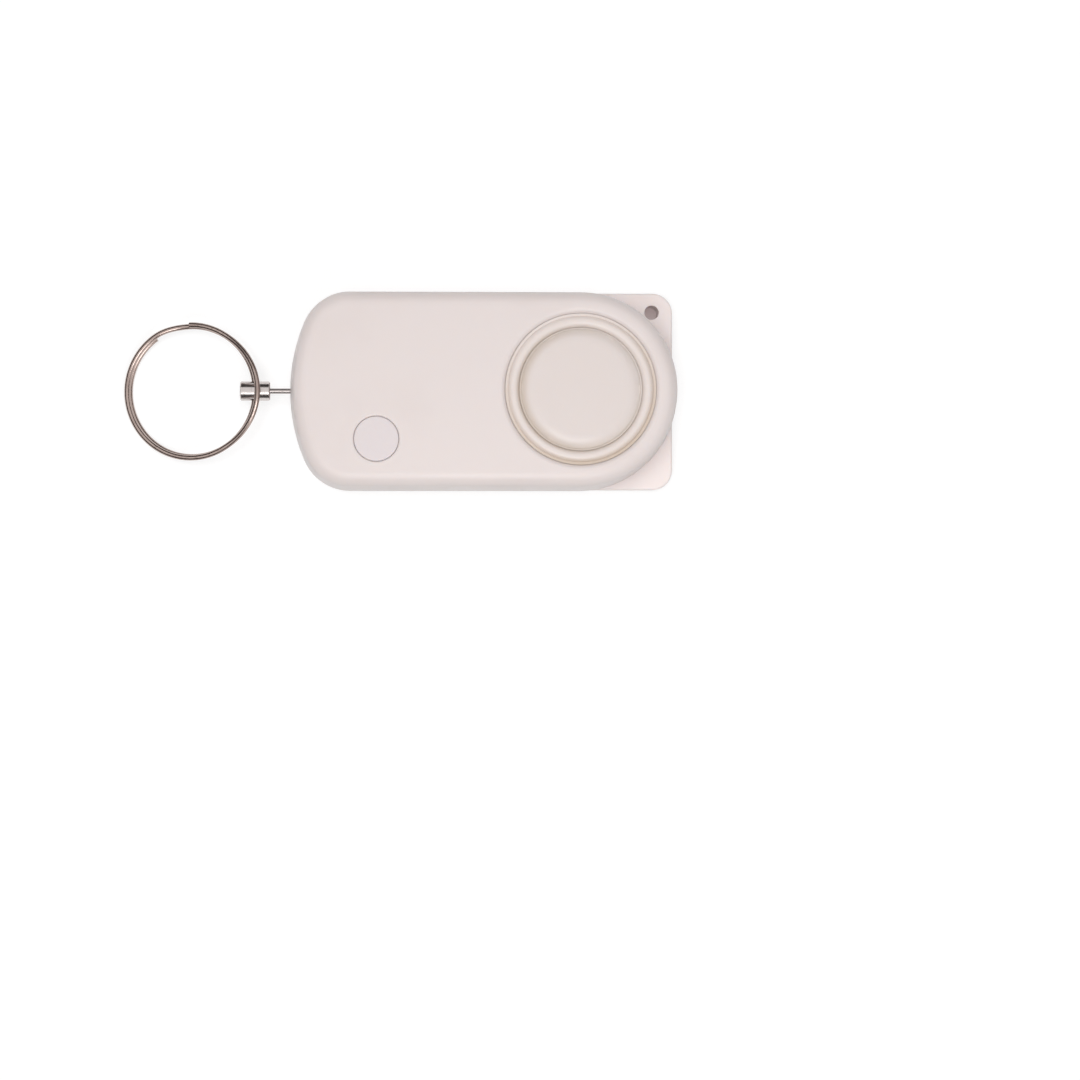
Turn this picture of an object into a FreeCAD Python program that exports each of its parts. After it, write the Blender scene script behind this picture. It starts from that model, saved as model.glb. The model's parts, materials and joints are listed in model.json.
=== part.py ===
"""Pocket personal alarm: a moulded case with a siren, a push button, a corner lamp and a pull pin on a key ring.

Millimetres. The origin is the centre of the flat back face. +X points to the siren end, +Z out of the front.
"""

import FreeCAD, Part
import math
import os

V = FreeCAD.Vector
Z_AXIS = V(0, 0, 1)
X_AXIS = V(1, 0, 0)
Y_AXIS = V(0, 1, 0)

# Case
case_length = 70.0
case_width = 36.0
seam_height = 6.0
wall = 1.5
roof = 1.5
draft_inset = 0.80
back_inset = 0.15
end_bulge_radius = 32.0
end_corner_radius = 9.0
front_edge_radius = 2.5
back_edge_radius = 1.0
lip_height = 1.2
lip_gap = 0.10

# Corner tabs of the back shell
tab_setback = 0.9
tab_side_setback = 0.2
tab_corner_radius = 3.6
tab_roof = 0.8
tab_edge_radius = 0.4
lanyard_hole_radius = 1.3
lanyard_from_tab_end = 3.75
lanyard_from_tab_side = 3.45

# Siren
siren_border = 4.5
siren_lip_radius = 1.0
siren_depth = 4.2
bead_radius = 1.1
bead_from_opening = 1.45
ring_below_face = 0.1
ring_clearance = 0.02
outer_valley_depth = 0.7
inner_valley_depth = 1.0
inner_valley_width = 0.35
ledge_width = 1.1
ledge_thickness = 0.8
flange_overlap = 1.7
flange_thickness = 1.5
ring_body_overlap = 1.1
cap_above_face = 0.15
cap_shoulder_radius = 3.6
cap_shoulder_reach = 2.3
cap_slot_height = 0.25
cap_foot_count = 6
cap_foot_width = 1.4
cap_foot_setback = 0.1
chamber_depth = 2.2
chamber_floor = 0.6
chamber_rim = 1.15
brass_thickness = 0.3
brass_seat_width = 0.9
ceramic_border = 3.5
ceramic_thickness = 0.2
gasket_width = 1.1
gasket_thickness = 0.5
siren_lead_radius = 0.4
siren_lead_clearance = 0.1
brass_clearance = 0.05

# Push button and the switch under it
button_from_pin_end = 15.6
button_from_side = 9.1
button_radius = 4.0
button_clearance = 0.04
button_hole_round = 0.35
button_edge_round = 0.3
button_below_face = 0.05
button_flange = 1.1
button_flange_thickness = 0.6
button_stem_radius = 1.5
button_travel = 0.4
button_rest_gap = 0.1
sleeve_gap = 0.25
sleeve_wall = 0.8
sleeve_depth = 1.6
switch_size = 6.0
switch_body_height = 2.3
switch_cover_thickness = 0.3
plunger_radius = 1.75
plunger_stand = 0.9
plunger_root = 0.5
plunger_clearance = 0.08

# Battery compartment
battery_from_pin_end = 22.5
cell_radius = 10.0
cell_height = 3.2
cell_count = 2
cell_clearance = 0.3
cell_cap_radius = 8.6
cell_cap_height = 0.35
cup_wall = 1.0
cup_ceiling = 0.85
cup_step = 0.8
contact_space = 0.6
contact_thickness = 0.25
contact_touch_gap = 0.05
contact_width = 3.6
negative_strip_length = 12.0
negative_dome_radius = 1.2
contact_post_radius = 0.5
contact_post_clearance = 0.1
hatch_rim = 0.9
hatch_floor = 1.3
hatch_recess = 0.15
hatch_gap = 0.15
hatch_lift_gap = 0.1
hatch_tab_count = 3
hatch_tab_angle = 24.0
hatch_tab_reach = 1.15
hatch_tab_thickness = 0.9
hatch_turn = 35.0
hatch_notch_margin = 2.0
coin_slot_length = 12.0
coin_slot_width = 1.8
coin_slot_depth = 0.7
seal_radius = 0.33
seal_gap = 0.05

# Circuit board and what is soldered to it
board_thickness = 1.0
board_gap_to_chamber = 0.2
board_side_gap = 0.8
board_tongue_gap = 1.9
board_tongue_length = 7.1
board_tongue_half_width = 8.6
board_before_siren_centre = 3.5
board_post_radius = 1.6
board_screw_from_pin_end = 6.5
board_screw_y = 6.0
board_post_from_board_end = 2.0
board_post_from_board_side = 5.2
board_screw_radius = 0.8
board_screw_head_radius = 1.5
board_screw_head_height = 0.8
board_screw_length = 5.0
board_boss_clearance = 0.3
chip_from_battery = 5.0
chip_y = 4.0
chip_length = 5.0
chip_width = 4.0
chip_height = 1.5
chip_legs_per_side = 4
chip_leg_pitch = 1.27
chip_leg_width = 0.4
chip_leg_reach = 1.0
chip_leg_thickness = 0.2
transistor_from_battery = 7.0
transistor_y = -7.5
transistor_length = 4.5
transistor_width = 2.5
transistor_height = 1.5
passive_length = 2.0
passive_width = 1.25
passive_height = 0.55
passive_pitch = 2.6
resistor_count = 5
resistors_from_board_side = 4.0
capacitor_count = 4
capacitors_from_board_side = 2.0
coil_from_cup = 0.3
coil_y = -4.1
coil_radius = 4.0
coil_height = 6.4
coil_flange_thickness = 0.9
coil_core_radius = 1.6
coil_winding_inset = 0.5
can_radius = 2.5
can_length = 7.0
can_seat_gap = 0.05
can_y = 3.7
can_bead_radius = 0.5

# Lamp in the corner tab
lamp_radius = 1.5
lamp_flange_radius = 1.7
lamp_flange_thickness = 0.7
lamp_body_length = 3.2
lamp_stand_out = 0.2
lamp_clearance = 0.05
lamp_from_tab_side = 3.9
lamp_lead_radius = 0.25
lamp_lead_spacing = 2.54
lamp_lead_bend = 1.6
lamp_lead_step = 2.5

# Pull pin, its socket and contacts
pin_radius = 0.5
pin_clearance = 0.05
pin_hole_radius = 0.75
pin_depth = 8.0
pin_stand = 3.6
pin_tip_length = 4.0
pin_spigot_radius = 0.25
pin_spigot_length = 2.0
spigot_clearance = 0.02
socket_length = 7.0
socket_half_width = 3.0
socket_under_pin = 2.4
socket_wall_gap = 0.15
socket_face_thickness = 2.4
socket_pocket_half_width = 1.8
socket_pocket_half_height = 2.0
leaf_thickness = 0.2
leaf_half_width = 0.8
leaf_touch_gap = 0.05
leaf_front_gap = 0.3
leaf_riser_spacing = 0.6

# Ferrule and split ring
ferrule_radius = 1.75
ferrule_length = 5.4
ferrule_chamfer = 0.2
ferrule_shoulder = 1.2
pin_head_radius = 0.85
pin_head_length = 0.55
head_clearance = 0.08
wire_radius = 0.5
cross_hole_clearance = 0.2
ring_outer_radius = 12.5
turn_gap = 0.12
turn_spread = 0.2
ring_lift_over_ferrule = 2.8
ring_bow_over_ferrule = 1.0
lift_half_angle = 60.0
crossover_angle = 108.0
crossover_half_angle = 14.0
end_gap_angle = 3.0
bend_steps = 10
plain_step = 45.0

# Case screws
screw_from_pin_end = 7.5
pin_end_screw_y = 11.5
screw_before_siren = 15.0
screw_from_side = 4.4
screw_column_radius = 3.0
screw_boss_radius = 2.3
screw_boss_gap = 0.05
screw_head_radius = 1.9
screw_head_height = 1.3
screw_head_clearance = 0.15
screw_shank_radius = 1.0
screw_hole_clearance = 0.15
screw_pilot_clearance = 0.05
screw_length = 8.5
counterbore_depth = 2.2
recess_length = 2.2
recess_width = 0.5
recess_depth = 0.7

# Levels, from the back face up
cell_level = hatch_recess + hatch_floor + hatch_lift_gap
stack_top = cell_level + cell_count * cell_height
cup_top = stack_top + contact_space + cup_ceiling
board_top = cup_top + board_thickness
chamber_level = board_top + board_gap_to_chamber
siren_level = chamber_level + chamber_depth
case_height = siren_level + siren_depth
roof_level = case_height - roof
pin_level = seam_height
lamp_level = (wall + seam_height - tab_roof) / 2
tab_level = wall + hatch_lift_gap
step_level = tab_level + hatch_tab_thickness + hatch_lift_gap

# Places in plan
pin_end_x = -case_length / 2
siren_end_x = case_length / 2
end_radius = case_width / 2
siren_x = siren_end_x - end_radius
tab_end_x = siren_end_x - tab_setback
tab_side_y = end_radius - tab_side_setback
battery_x = pin_end_x + battery_from_pin_end
button_x = pin_end_x + button_from_pin_end
button_y = -end_radius + button_from_side
board_start_x = pin_end_x + wall + board_tongue_gap
board_shoulder_x = board_start_x + board_tongue_length
board_end_x = siren_x - board_before_siren_centre
board_half_width = end_radius - wall - board_side_gap
board_post_y = board_half_width - board_post_from_board_side
board_screw_x = pin_end_x + board_screw_from_pin_end
board_post_x = board_end_x - board_post_from_board_end
chip_x = battery_x + chip_from_battery
transistor_x = battery_x + transistor_from_battery
lamp_y = -tab_side_y + lamp_from_tab_side
lanyard_x = tab_end_x - lanyard_from_tab_end
lanyard_y = tab_side_y - lanyard_from_tab_side
pin_end_screw_x = pin_end_x + screw_from_pin_end
siren_screw_x = siren_x - screw_before_siren
siren_screw_y = end_radius - screw_from_side
screw_places = [
    (pin_end_screw_x, pin_end_screw_y),
    (pin_end_screw_x, -pin_end_screw_y),
    (siren_screw_x, siren_screw_y),
    (siren_screw_x, -siren_screw_y),
]

# Radii that fit together
siren_opening_radius = end_radius - siren_border
bead_centre_radius = siren_opening_radius - bead_from_opening
ring_inner = bead_centre_radius - bead_radius
cap_radius = ring_inner - inner_valley_width
chamber_radius = siren_opening_radius + ring_body_overlap
brass_radius = chamber_radius - chamber_rim
cup_radius = cell_radius + cell_clearance
hatch_radius = cup_radius + hatch_rim
hatch_opening_radius = hatch_radius + hatch_gap
hatch_tab_radius = hatch_radius + hatch_tab_reach
bayonet_radius = hatch_tab_radius + hatch_gap
coil_x = battery_x + bayonet_radius + cup_wall + coil_from_cup + coil_radius

# Ferrule and ring places
ferrule_end_x = pin_end_x - pin_stand
ferrule_start_x = ferrule_end_x - ferrule_length
pivot_x = (ferrule_start_x + ferrule_end_x) / 2
turn_radius = ring_outer_radius - wire_radius - turn_spread
turn_rise = 2 * wire_radius + turn_gap
ring_droop = math.degrees(math.asin((pin_level - wire_radius) / (2 * turn_radius)))


def cylinder(radius, low, high, x=0.0, y=0.0):
    return Part.makeCylinder(radius, high - low, V(x, y, low), Z_AXIS)


def rod_along_x(radius, low, high, y, z):
    return Part.makeCylinder(radius, high - low, V(low, y, z), X_AXIS)


def tube(outer, inner, low, high, x=0.0, y=0.0):
    return cylinder(outer, low, high, x, y).cut(cylinder(inner, low, high, x, y))


def block(x_low, x_high, y_low, y_high, z_low, z_high):
    return Part.makeBox(x_high - x_low, y_high - y_low, z_high - z_low, V(x_low, y_low, z_low))


def fused(first, *others):
    return first.multiFuse(list(others)).removeSplitter()


def turned(start, steps, x, y):
    """A solid of revolution about a vertical axis at x, y.

    Points are (radius, height). A step is one point for a line, or a middle and an end point for an arc.
    """
    edges = []
    here = V(start[0], 0, start[1])
    first = here
    for step in steps:
        there = V(step[-1][0], 0, step[-1][1])
        if len(step) == 2:
            middle = V(step[0][0], 0, step[0][1])
            edges.append(Part.Arc(here, middle, there).toShape())
        else:
            edges.append(Part.LineSegment(here, there).toShape())
        here = there
    edges.append(Part.LineSegment(here, first).toShape())
    solid = Part.Face(Part.Wire(edges)).revolve(V(0, 0, 0), Z_AXIS, 360)
    solid.translate(V(x, y, 0))
    return solid


def corner_arc(centre, radius, start_angle, end_angle):
    """Middle and end points of an arc about a centre, with angles in degrees."""
    points = []
    for angle in ((start_angle + end_angle) / 2, end_angle):
        turn = math.radians(angle)
        points.append((centre[0] + radius * math.cos(turn), centre[1] + radius * math.sin(turn)))
    return tuple(points)


def sector(inner, outer, low, high, middle_angle, width, x, y):
    """A block bent round a vertical axis, such as a bayonet tab."""
    ring = Part.makeCylinder(outer, high - low, V(0, 0, low), Z_AXIS, width)
    ring = ring.cut(cylinder(inner, low, high))
    ring.rotate(V(0, 0, 0), Z_AXIS, middle_angle - width / 2)
    ring.translate(V(x, y, 0))
    return ring


def case_outline(inset, level):
    """The plan of the case: a bulged end with two corner arcs, straight sides and a half round siren end."""
    half = end_radius - inset
    bulge = end_bulge_radius - inset
    corner = end_corner_radius - inset
    bulge_x = pin_end_x + end_bulge_radius
    corner_y = half - corner
    reach = bulge - corner
    corner_x = bulge_x - math.sqrt(reach ** 2 - corner_y ** 2)
    meet_x = bulge_x + (corner_x - bulge_x) * bulge / reach
    meet_y = corner_y * bulge / reach
    side_angle = (math.pi / 2 + math.atan2(meet_y - corner_y, meet_x - corner_x)) / 2
    mid_x = corner_x + corner * math.cos(side_angle)
    mid_y = corner_y + corner * math.sin(side_angle)

    def at(x, y):
        return V(x, y, level)

    return Part.Wire([
        Part.LineSegment(at(corner_x, half), at(siren_x, half)).toShape(),
        Part.Arc(at(siren_x, half), at(siren_x + half, 0), at(siren_x, -half)).toShape(),
        Part.LineSegment(at(siren_x, -half), at(corner_x, -half)).toShape(),
        Part.Arc(at(corner_x, -half), at(mid_x, -mid_y), at(meet_x, -meet_y)).toShape(),
        Part.Arc(at(meet_x, -meet_y), at(pin_end_x + inset, 0), at(meet_x, meet_y)).toShape(),
        Part.Arc(at(meet_x, meet_y), at(mid_x, mid_y), at(corner_x, half)).toShape(),
    ])


def front_inset(level):
    """How far the front shell's side leans in at a level."""
    return draft_inset * (level - seam_height) / (case_height - seam_height)


def front_prism(inset, low, high):
    wires = [case_outline(inset + front_inset(level), level) for level in (low, high)]
    return Part.makeLoft(wires, True, True)


def back_prism(inset, low, high):
    """A slice of the back shell's plan, which leans in towards the back face."""
    wires = []
    for level in (low, high):
        lean = back_inset * max(0.0, seam_height - level) / seam_height
        wires.append(case_outline(inset + lean, level))
    return Part.makeLoft(wires, True, True)


def edges_at(shape, level, wanted=lambda edge: True):
    """The edges that lie wholly at one height."""
    found = []
    for edge in shape.Edges:
        box = edge.BoundBox
        if abs(box.ZMin - level) < 1e-6 and abs(box.ZMax - level) < 1e-6 and wanted(edge):
            found.append(edge)
    return found


def pin_bore():
    """The round way in for the pull pin, half in each shell."""
    return rod_along_x(pin_hole_radius, pin_end_x - wall, pin_end_x + 2 * wall, 0, pin_level)


def front_shell():
    outer = front_prism(0, seam_height, case_height)
    outer = outer.makeFillet(front_edge_radius, edges_at(outer, case_height))
    cavity = front_prism(wall, seam_height, roof_level)
    rebate = front_prism(wall / 2, seam_height, seam_height + lip_height + lip_gap)
    shell = outer.cut(cavity).cut(rebate)
    bosses = []
    for x, y in screw_places:
        bosses.append(cylinder(screw_boss_radius, seam_height + screw_boss_gap, roof_level + roof / 2, x, y))
    sleeve_inner = button_radius + button_flange + sleeve_gap
    sleeve_outer = sleeve_inner + sleeve_wall
    sleeve = tube(sleeve_outer, sleeve_inner, roof_level - sleeve_depth, roof_level, button_x, button_y)
    shell = fused(shell, sleeve, *bosses)
    shell = shell.cut(cylinder(siren_opening_radius, roof_level - roof, case_height + roof, siren_x, 0))
    button_hole = button_radius + button_clearance
    shell = shell.cut(cylinder(button_hole, roof_level - roof, case_height + roof, button_x, button_y))
    for x, y in screw_places:
        pilot = screw_shank_radius + screw_pilot_clearance
        top = counterbore_depth + screw_length + screw_boss_gap
        shell = shell.cut(cylinder(pilot, seam_height, top, x, y))
    shell = shell.cut(pin_bore())

    for radius, round_radius in ((siren_opening_radius, siren_lip_radius), (button_hole, button_hole_round)):
        def rim(edge):
            return isinstance(edge.Curve, Part.Circle) and abs(edge.Curve.Radius - radius) < 1e-6

        shell = shell.makeFillet(round_radius, edges_at(shell, case_height, rim))
    return shell


def corner_tabs():
    """The square siren end of the back shell, whose two corners reach past the round front shell."""
    tabs = block(siren_x, tab_end_x, -tab_side_y, tab_side_y, 0, seam_height)

    def upright_corner(edge):
        box = edge.BoundBox
        return box.ZLength > seam_height / 2 and box.XMin > tab_end_x - 1e-6

    tabs = tabs.makeFillet(tab_corner_radius, [edge for edge in tabs.Edges if upright_corner(edge)])
    tabs = tabs.makeFillet(back_edge_radius, edges_at(tabs, 0))
    return tabs.makeFillet(tab_edge_radius, edges_at(tabs, seam_height))


def battery_cup():
    """The round wall over the cells, with a wider step below where the hatch tabs turn."""
    outer_step = bayonet_radius + cup_wall
    outer_cup = cup_radius + cup_wall
    solid = turned(
        (0, wall / 2),
        [
            ((outer_step, wall / 2),),
            ((outer_step, step_level + cup_step),),
            ((outer_cup, step_level + cup_step),),
            ((outer_cup, cup_top),),
            ((0, cup_top),),
        ],
        battery_x, 0,
    )
    room = turned(
        (0, wall / 2),
        [
            ((bayonet_radius, wall / 2),),
            ((bayonet_radius, step_level),),
            ((cup_radius, step_level),),
            ((cup_radius, cup_top - cup_ceiling),),
            ((0, cup_top - cup_ceiling),),
        ],
        battery_x, 0,
    )
    return solid, room


def positive_slot():
    """The slot in the cup wall and ceiling that holds the side contact."""
    half = contact_width / 2 + contact_touch_gap
    return block(
        battery_x - half, battery_x + half,
        cell_radius, cup_radius + cup_wall + contact_touch_gap,
        step_level + cup_step, cup_top,
    )


def back_shell():
    capsule = back_prism(0, 0, seam_height)
    capsule = capsule.makeFillet(back_edge_radius, edges_at(capsule, 0))
    shell = fused(capsule, corner_tabs())
    shell = shell.cut(back_prism(wall, wall, seam_height))
    pocket_side = tab_side_y - wall
    shell = shell.cut(block(
        siren_x, tab_end_x - wall,
        -pocket_side, lamp_y + lamp_flange_radius + wall,
        wall, seam_height - tab_roof,
    ))
    lip_outer = wall / 2 + lip_gap
    lip_high = seam_height + lip_height
    lip = back_prism(lip_outer, seam_height, lip_high).cut(back_prism(wall, seam_height, lip_high))
    cup, room = battery_cup()
    columns = [cylinder(screw_column_radius, wall / 2, seam_height, x, y) for x, y in screw_places]
    posts = []
    for y in (board_screw_y, -board_screw_y):
        posts.append(cylinder(board_post_radius, wall / 2, cup_top, board_screw_x, y))
    for y in (board_post_y, -board_post_y):
        posts.append(cylinder(board_post_radius, wall / 2, cup_top, board_post_x, y))
    inside = capsule.fuse(back_prism(wall, seam_height, cup_top))
    columns = [column.common(inside) for column in columns]
    shell = fused(shell, lip, cup, *columns, *posts)
    shell = shell.cut(room)
    shell = shell.cut(cylinder(hatch_opening_radius, -wall, wall, battery_x, 0))
    for number in range(hatch_tab_count):
        angle = number * 360.0 / hatch_tab_count - hatch_turn
        width = hatch_tab_angle + 2 * hatch_notch_margin
        shell = shell.cut(sector(hatch_radius, bayonet_radius, -wall, wall,
                                 angle, width, battery_x, 0))
    shell = shell.cut(positive_slot())
    post_hole = contact_post_radius + contact_post_clearance
    shell = shell.cut(cylinder(post_hole, stack_top, cup_top, battery_x, 0))
    for x, y in screw_places:
        shell = shell.cut(cylinder(screw_head_radius + screw_head_clearance, -wall, counterbore_depth, x, y))
        shell = shell.cut(cylinder(screw_shank_radius + screw_hole_clearance, 0, seam_height, x, y))
    for y in (board_screw_y, -board_screw_y):
        bore = board_screw_radius + screw_pilot_clearance
        shell = shell.cut(cylinder(bore, cup_top - board_screw_length, cup_top, board_screw_x, y))
    shell = shell.cut(cylinder(lanyard_hole_radius, -wall, seam_height + wall, lanyard_x, lanyard_y))
    shell = shell.cut(rod_along_x(lamp_radius + lamp_clearance, tab_end_x - 2 * wall, siren_end_x,
                                  lamp_y, lamp_level))
    return shell.cut(pin_bore())


def screw(head_radius, head_height, shank_radius, length, x, y, seat, points_up):
    """A cross recess screw. Its head lies under the seat when it points up, and on it when it points down."""
    way = 1 if points_up else -1
    head_far = seat - way * head_height
    low, high = sorted((seat, head_far))
    head = cylinder(head_radius, low, high, x, y)
    low, high = sorted((seat, seat + way * length))
    shank = cylinder(shank_radius, low, high, x, y)
    solid = fused(head, shank)
    low, high = sorted((head_far, head_far + way * min(recess_depth, head_height / 2)))
    for half_x, half_y in ((recess_length / 2, recess_width / 2), (recess_width / 2, recess_length / 2)):
        solid = solid.cut(block(x - half_x, x + half_x, y - half_y, y + half_y, low, high))
    return solid


def case_screws():
    return Part.makeCompound([
        screw(screw_head_radius, screw_head_height, screw_shank_radius, screw_length,
              x, y, counterbore_depth, True)
        for x, y in screw_places
    ])


def board_screws():
    length = board_screw_length - screw_pilot_clearance + board_thickness
    return Part.makeCompound([
        screw(board_screw_head_radius, board_screw_head_height, board_screw_radius,
              length, board_screw_x, y, board_top, False)
        for y in (board_screw_y, -board_screw_y)
    ])


def siren_ring():
    """The round bead between two valleys, with a flange under the roof and a ledge for the cap."""
    bead_level = case_height - ring_below_face - bead_radius
    bead_centre = (bead_centre_radius, bead_level)
    shoulder_level = case_height - outer_valley_depth
    shoulder_angle = math.asin((shoulder_level - bead_level) / bead_radius)
    floor_level = case_height - inner_valley_depth
    flange_radius = siren_opening_radius + flange_overlap
    body_radius = siren_opening_radius - ring_clearance
    return turned(
        (ring_inner, siren_level),
        [
            ((chamber_radius, siren_level),),
            ((chamber_radius, roof_level - flange_thickness),),
            ((flange_radius, roof_level - flange_thickness),),
            ((flange_radius, roof_level),),
            ((body_radius, roof_level),),
            ((body_radius, shoulder_level),),
            ((bead_centre_radius + bead_radius * math.cos(shoulder_angle), shoulder_level),),
            corner_arc(bead_centre, bead_radius, math.degrees(shoulder_angle), 180),
            ((ring_inner, floor_level),),
            ((ring_inner - ledge_width, floor_level),),
            ((ring_inner - ledge_width, floor_level - ledge_thickness),),
            ((ring_inner, floor_level - ledge_thickness),),
        ],
        siren_x, 0,
    )


def siren_cap():
    """The centre disc with a round shoulder. It stands on feet, and the sound leaves under its rim."""
    top = case_height + cap_above_face
    floor_level = case_height - inner_valley_depth
    rim_level = floor_level + cap_slot_height
    flat_radius = cap_radius - cap_shoulder_reach
    shoulder_centre = (flat_radius, top - cap_shoulder_radius)
    end_angle = math.acos(cap_shoulder_reach / cap_shoulder_radius)
    disc = turned(
        (0, top),
        [
            ((flat_radius, top),),
            corner_arc(shoulder_centre, cap_shoulder_radius, 90, math.degrees(end_angle)),
            ((cap_radius, rim_level),),
            ((0, rim_level),),
        ],
        0, 0,
    )
    feet = []
    half = cap_foot_width / 2
    for number in range(cap_foot_count):
        foot = block(ring_inner - ledge_width, cap_radius - cap_foot_setback, -half, half,
                     floor_level, rim_level + cap_slot_height)
        foot.rotate(V(0, 0, 0), Z_AXIS, number * 360.0 / cap_foot_count)
        feet.append(foot)
    cap = fused(disc, *feet)
    cap.translate(V(siren_x, 0, 0))
    return cap


def siren_chamber():
    """The cup that clamps the sounder plate against the ring, with holes for its two leads."""
    seat = siren_level - gasket_thickness - brass_thickness
    inner = brass_radius - brass_seat_width
    wall_inner = brass_radius + brass_clearance
    cup = turned(
        (0, chamber_level),
        [
            ((chamber_radius, chamber_level),),
            ((chamber_radius, siren_level),),
            ((wall_inner, siren_level),),
            ((wall_inner, seat),),
            ((inner, seat),),
            ((inner, chamber_level + chamber_floor),),
            ((0, chamber_level + chamber_floor),),
        ],
        siren_x, 0,
    )
    for x, y, top in siren_lead_places():
        hole = siren_lead_radius + siren_lead_clearance
        cup = cup.cut(cylinder(hole, chamber_level, chamber_level + chamber_floor, x, y))
    return cup


def siren_lead_places():
    """Plan place and top of each lead: one ends on the brass, one on the ceramic."""
    brass_level = siren_level - gasket_thickness - brass_thickness
    ceramic_radius = brass_radius - ceramic_border
    on_brass = (ceramic_radius + brass_radius - brass_seat_width) / 2
    on_ceramic = ceramic_radius - 2 * siren_lead_radius
    return [
        (siren_x - on_brass, 2 * siren_lead_radius, brass_level),
        (siren_x - on_ceramic, -2 * siren_lead_radius, brass_level - ceramic_thickness),
    ]


def piezo_plate():
    low = siren_level - gasket_thickness - brass_thickness
    return cylinder(brass_radius, low, low + brass_thickness, siren_x, 0)


def piezo_ceramic():
    high = siren_level - gasket_thickness - brass_thickness
    return cylinder(brass_radius - ceramic_border, high - ceramic_thickness, high, siren_x, 0)


def piezo_gasket():
    low = siren_level - gasket_thickness
    return tube(brass_radius, brass_radius - gasket_width, low, siren_level, siren_x, 0)


def siren_leads():
    return Part.makeCompound([
        cylinder(siren_lead_radius, board_top, top, x, y) for x, y, top in siren_lead_places()
    ])


def push_button():
    """A flush cap with a flange under the roof and a stem over the switch."""
    top = case_height - button_below_face
    flange_top = roof_level - button_rest_gap
    cap = cylinder(button_radius, flange_top, top, button_x, button_y)
    cap = cap.makeFillet(button_edge_round, edges_at(cap, top))
    flange = cylinder(button_radius + button_flange, flange_top - button_flange_thickness, flange_top,
                      button_x, button_y)
    stem = cylinder(button_stem_radius, plunger_top() + button_rest_gap, flange_top, button_x, button_y)
    return fused(cap, flange, stem)


def switch_cover_top():
    return board_top + switch_body_height + switch_cover_thickness


def plunger_top():
    return switch_cover_top() + plunger_stand


def switch_housing():
    half = switch_size / 2
    body = block(button_x - half, button_x + half, button_y - half, button_y + half,
                 board_top, board_top + switch_body_height)
    hole_depth = plunger_root + button_travel + button_rest_gap
    high = board_top + switch_body_height
    return body.cut(cylinder(plunger_radius + plunger_clearance, high - hole_depth, high, button_x, button_y))


def switch_cover():
    half = switch_size / 2
    low = board_top + switch_body_height
    cover = block(button_x - half, button_x + half, button_y - half, button_y + half,
                  low, switch_cover_top())
    hole = plunger_radius + plunger_clearance
    return cover.cut(cylinder(hole, low, switch_cover_top(), button_x, button_y))


def switch_plunger():
    low = board_top + switch_body_height - plunger_root
    return cylinder(plunger_radius, low, plunger_top(), button_x, button_y)


def circuit_board():
    low = cup_top
    board = fused(
        block(board_shoulder_x, board_end_x, -board_half_width, board_half_width, low, board_top),
        block(board_start_x, board_shoulder_x, -board_tongue_half_width, board_tongue_half_width,
              low, board_top),
    )
    for x, y in screw_places:
        board = board.cut(cylinder(screw_boss_radius + board_boss_clearance, low, board_top, x, y))
    for y in (board_screw_y, -board_screw_y):
        hole = board_screw_radius + screw_pilot_clearance
        board = board.cut(cylinder(hole, low, board_top, board_screw_x, y))
    return board


def controller_chip():
    """An eight legged chip on the board, beside the switch."""
    x = chip_x
    y = chip_y
    standoff = chip_leg_thickness / 2
    body = block(x - chip_length / 2, x + chip_length / 2, y - chip_width / 2, y + chip_width / 2,
                 board_top + standoff, board_top + standoff + chip_height)
    legs = []
    for number in range(chip_legs_per_side):
        leg_x = x + (number - (chip_legs_per_side - 1) / 2) * chip_leg_pitch
        half = chip_leg_width / 2
        for side in (1, -1):
            near, far = sorted((side * chip_width / 4, side * (chip_width / 2 + chip_leg_reach / 2)))
            legs.append(block(leg_x - half, leg_x + half, y + near, y + far,
                              board_top + chip_height / 2, board_top + chip_height / 2 + chip_leg_thickness))
            foot_near = side * (chip_width / 2 + chip_leg_reach / 2 - chip_leg_thickness)
            near, far = sorted((foot_near, side * (chip_width / 2 + chip_leg_reach / 2)))
            legs.append(block(leg_x - half, leg_x + half, y + near, y + far,
                              board_top, board_top + chip_height / 2 + chip_leg_thickness))
            near, far = sorted((foot_near, side * (chip_width / 2 + chip_leg_reach)))
            legs.append(block(leg_x - half, leg_x + half, y + near, y + far,
                              board_top, board_top + chip_leg_thickness))
    return fused(body, *legs)


def driver_transistor():
    """The power transistor, flat on its tab, with three short legs."""
    x = transistor_x
    y = transistor_y
    half_x = transistor_length / 2
    front_y = y + transistor_width / 2
    body = block(x - half_x, x + half_x, front_y - transistor_width, front_y,
                 board_top, board_top + transistor_height)
    legs = []
    for number in (-1, 0, 1):
        leg_x = x + number * transistor_length / 3
        half = chip_leg_width / 2
        legs.append(block(leg_x - half, leg_x + half, front_y, front_y + chip_leg_reach,
                          board_top, board_top + chip_leg_thickness))
    return fused(body, *legs)


def row_of_passives(count, y):
    """Small chip parts in a row along the board, midway between the case screws."""
    row_length = (count - 1) * passive_pitch + passive_width
    start = (pin_end_screw_x + siren_screw_x - row_length) / 2
    parts = []
    for number in range(count):
        place = start + number * passive_pitch
        parts.append(block(place, place + passive_width, y - passive_length / 2, y + passive_length / 2,
                           board_top, board_top + passive_height))
    return Part.makeCompound(parts)


def chip_resistors():
    return row_of_passives(resistor_count, board_half_width - resistors_from_board_side)


def chip_capacitors():
    return row_of_passives(capacitor_count, -board_half_width + capacitors_from_board_side)


def boost_coil_core():
    low = cup_top - coil_height
    rim = tube(coil_radius + coil_radius, coil_core_radius, low + coil_flange_thickness,
               cup_top - coil_flange_thickness, coil_x, coil_y)
    return cylinder(coil_radius, low, cup_top, coil_x, coil_y).cut(rim)


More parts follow.
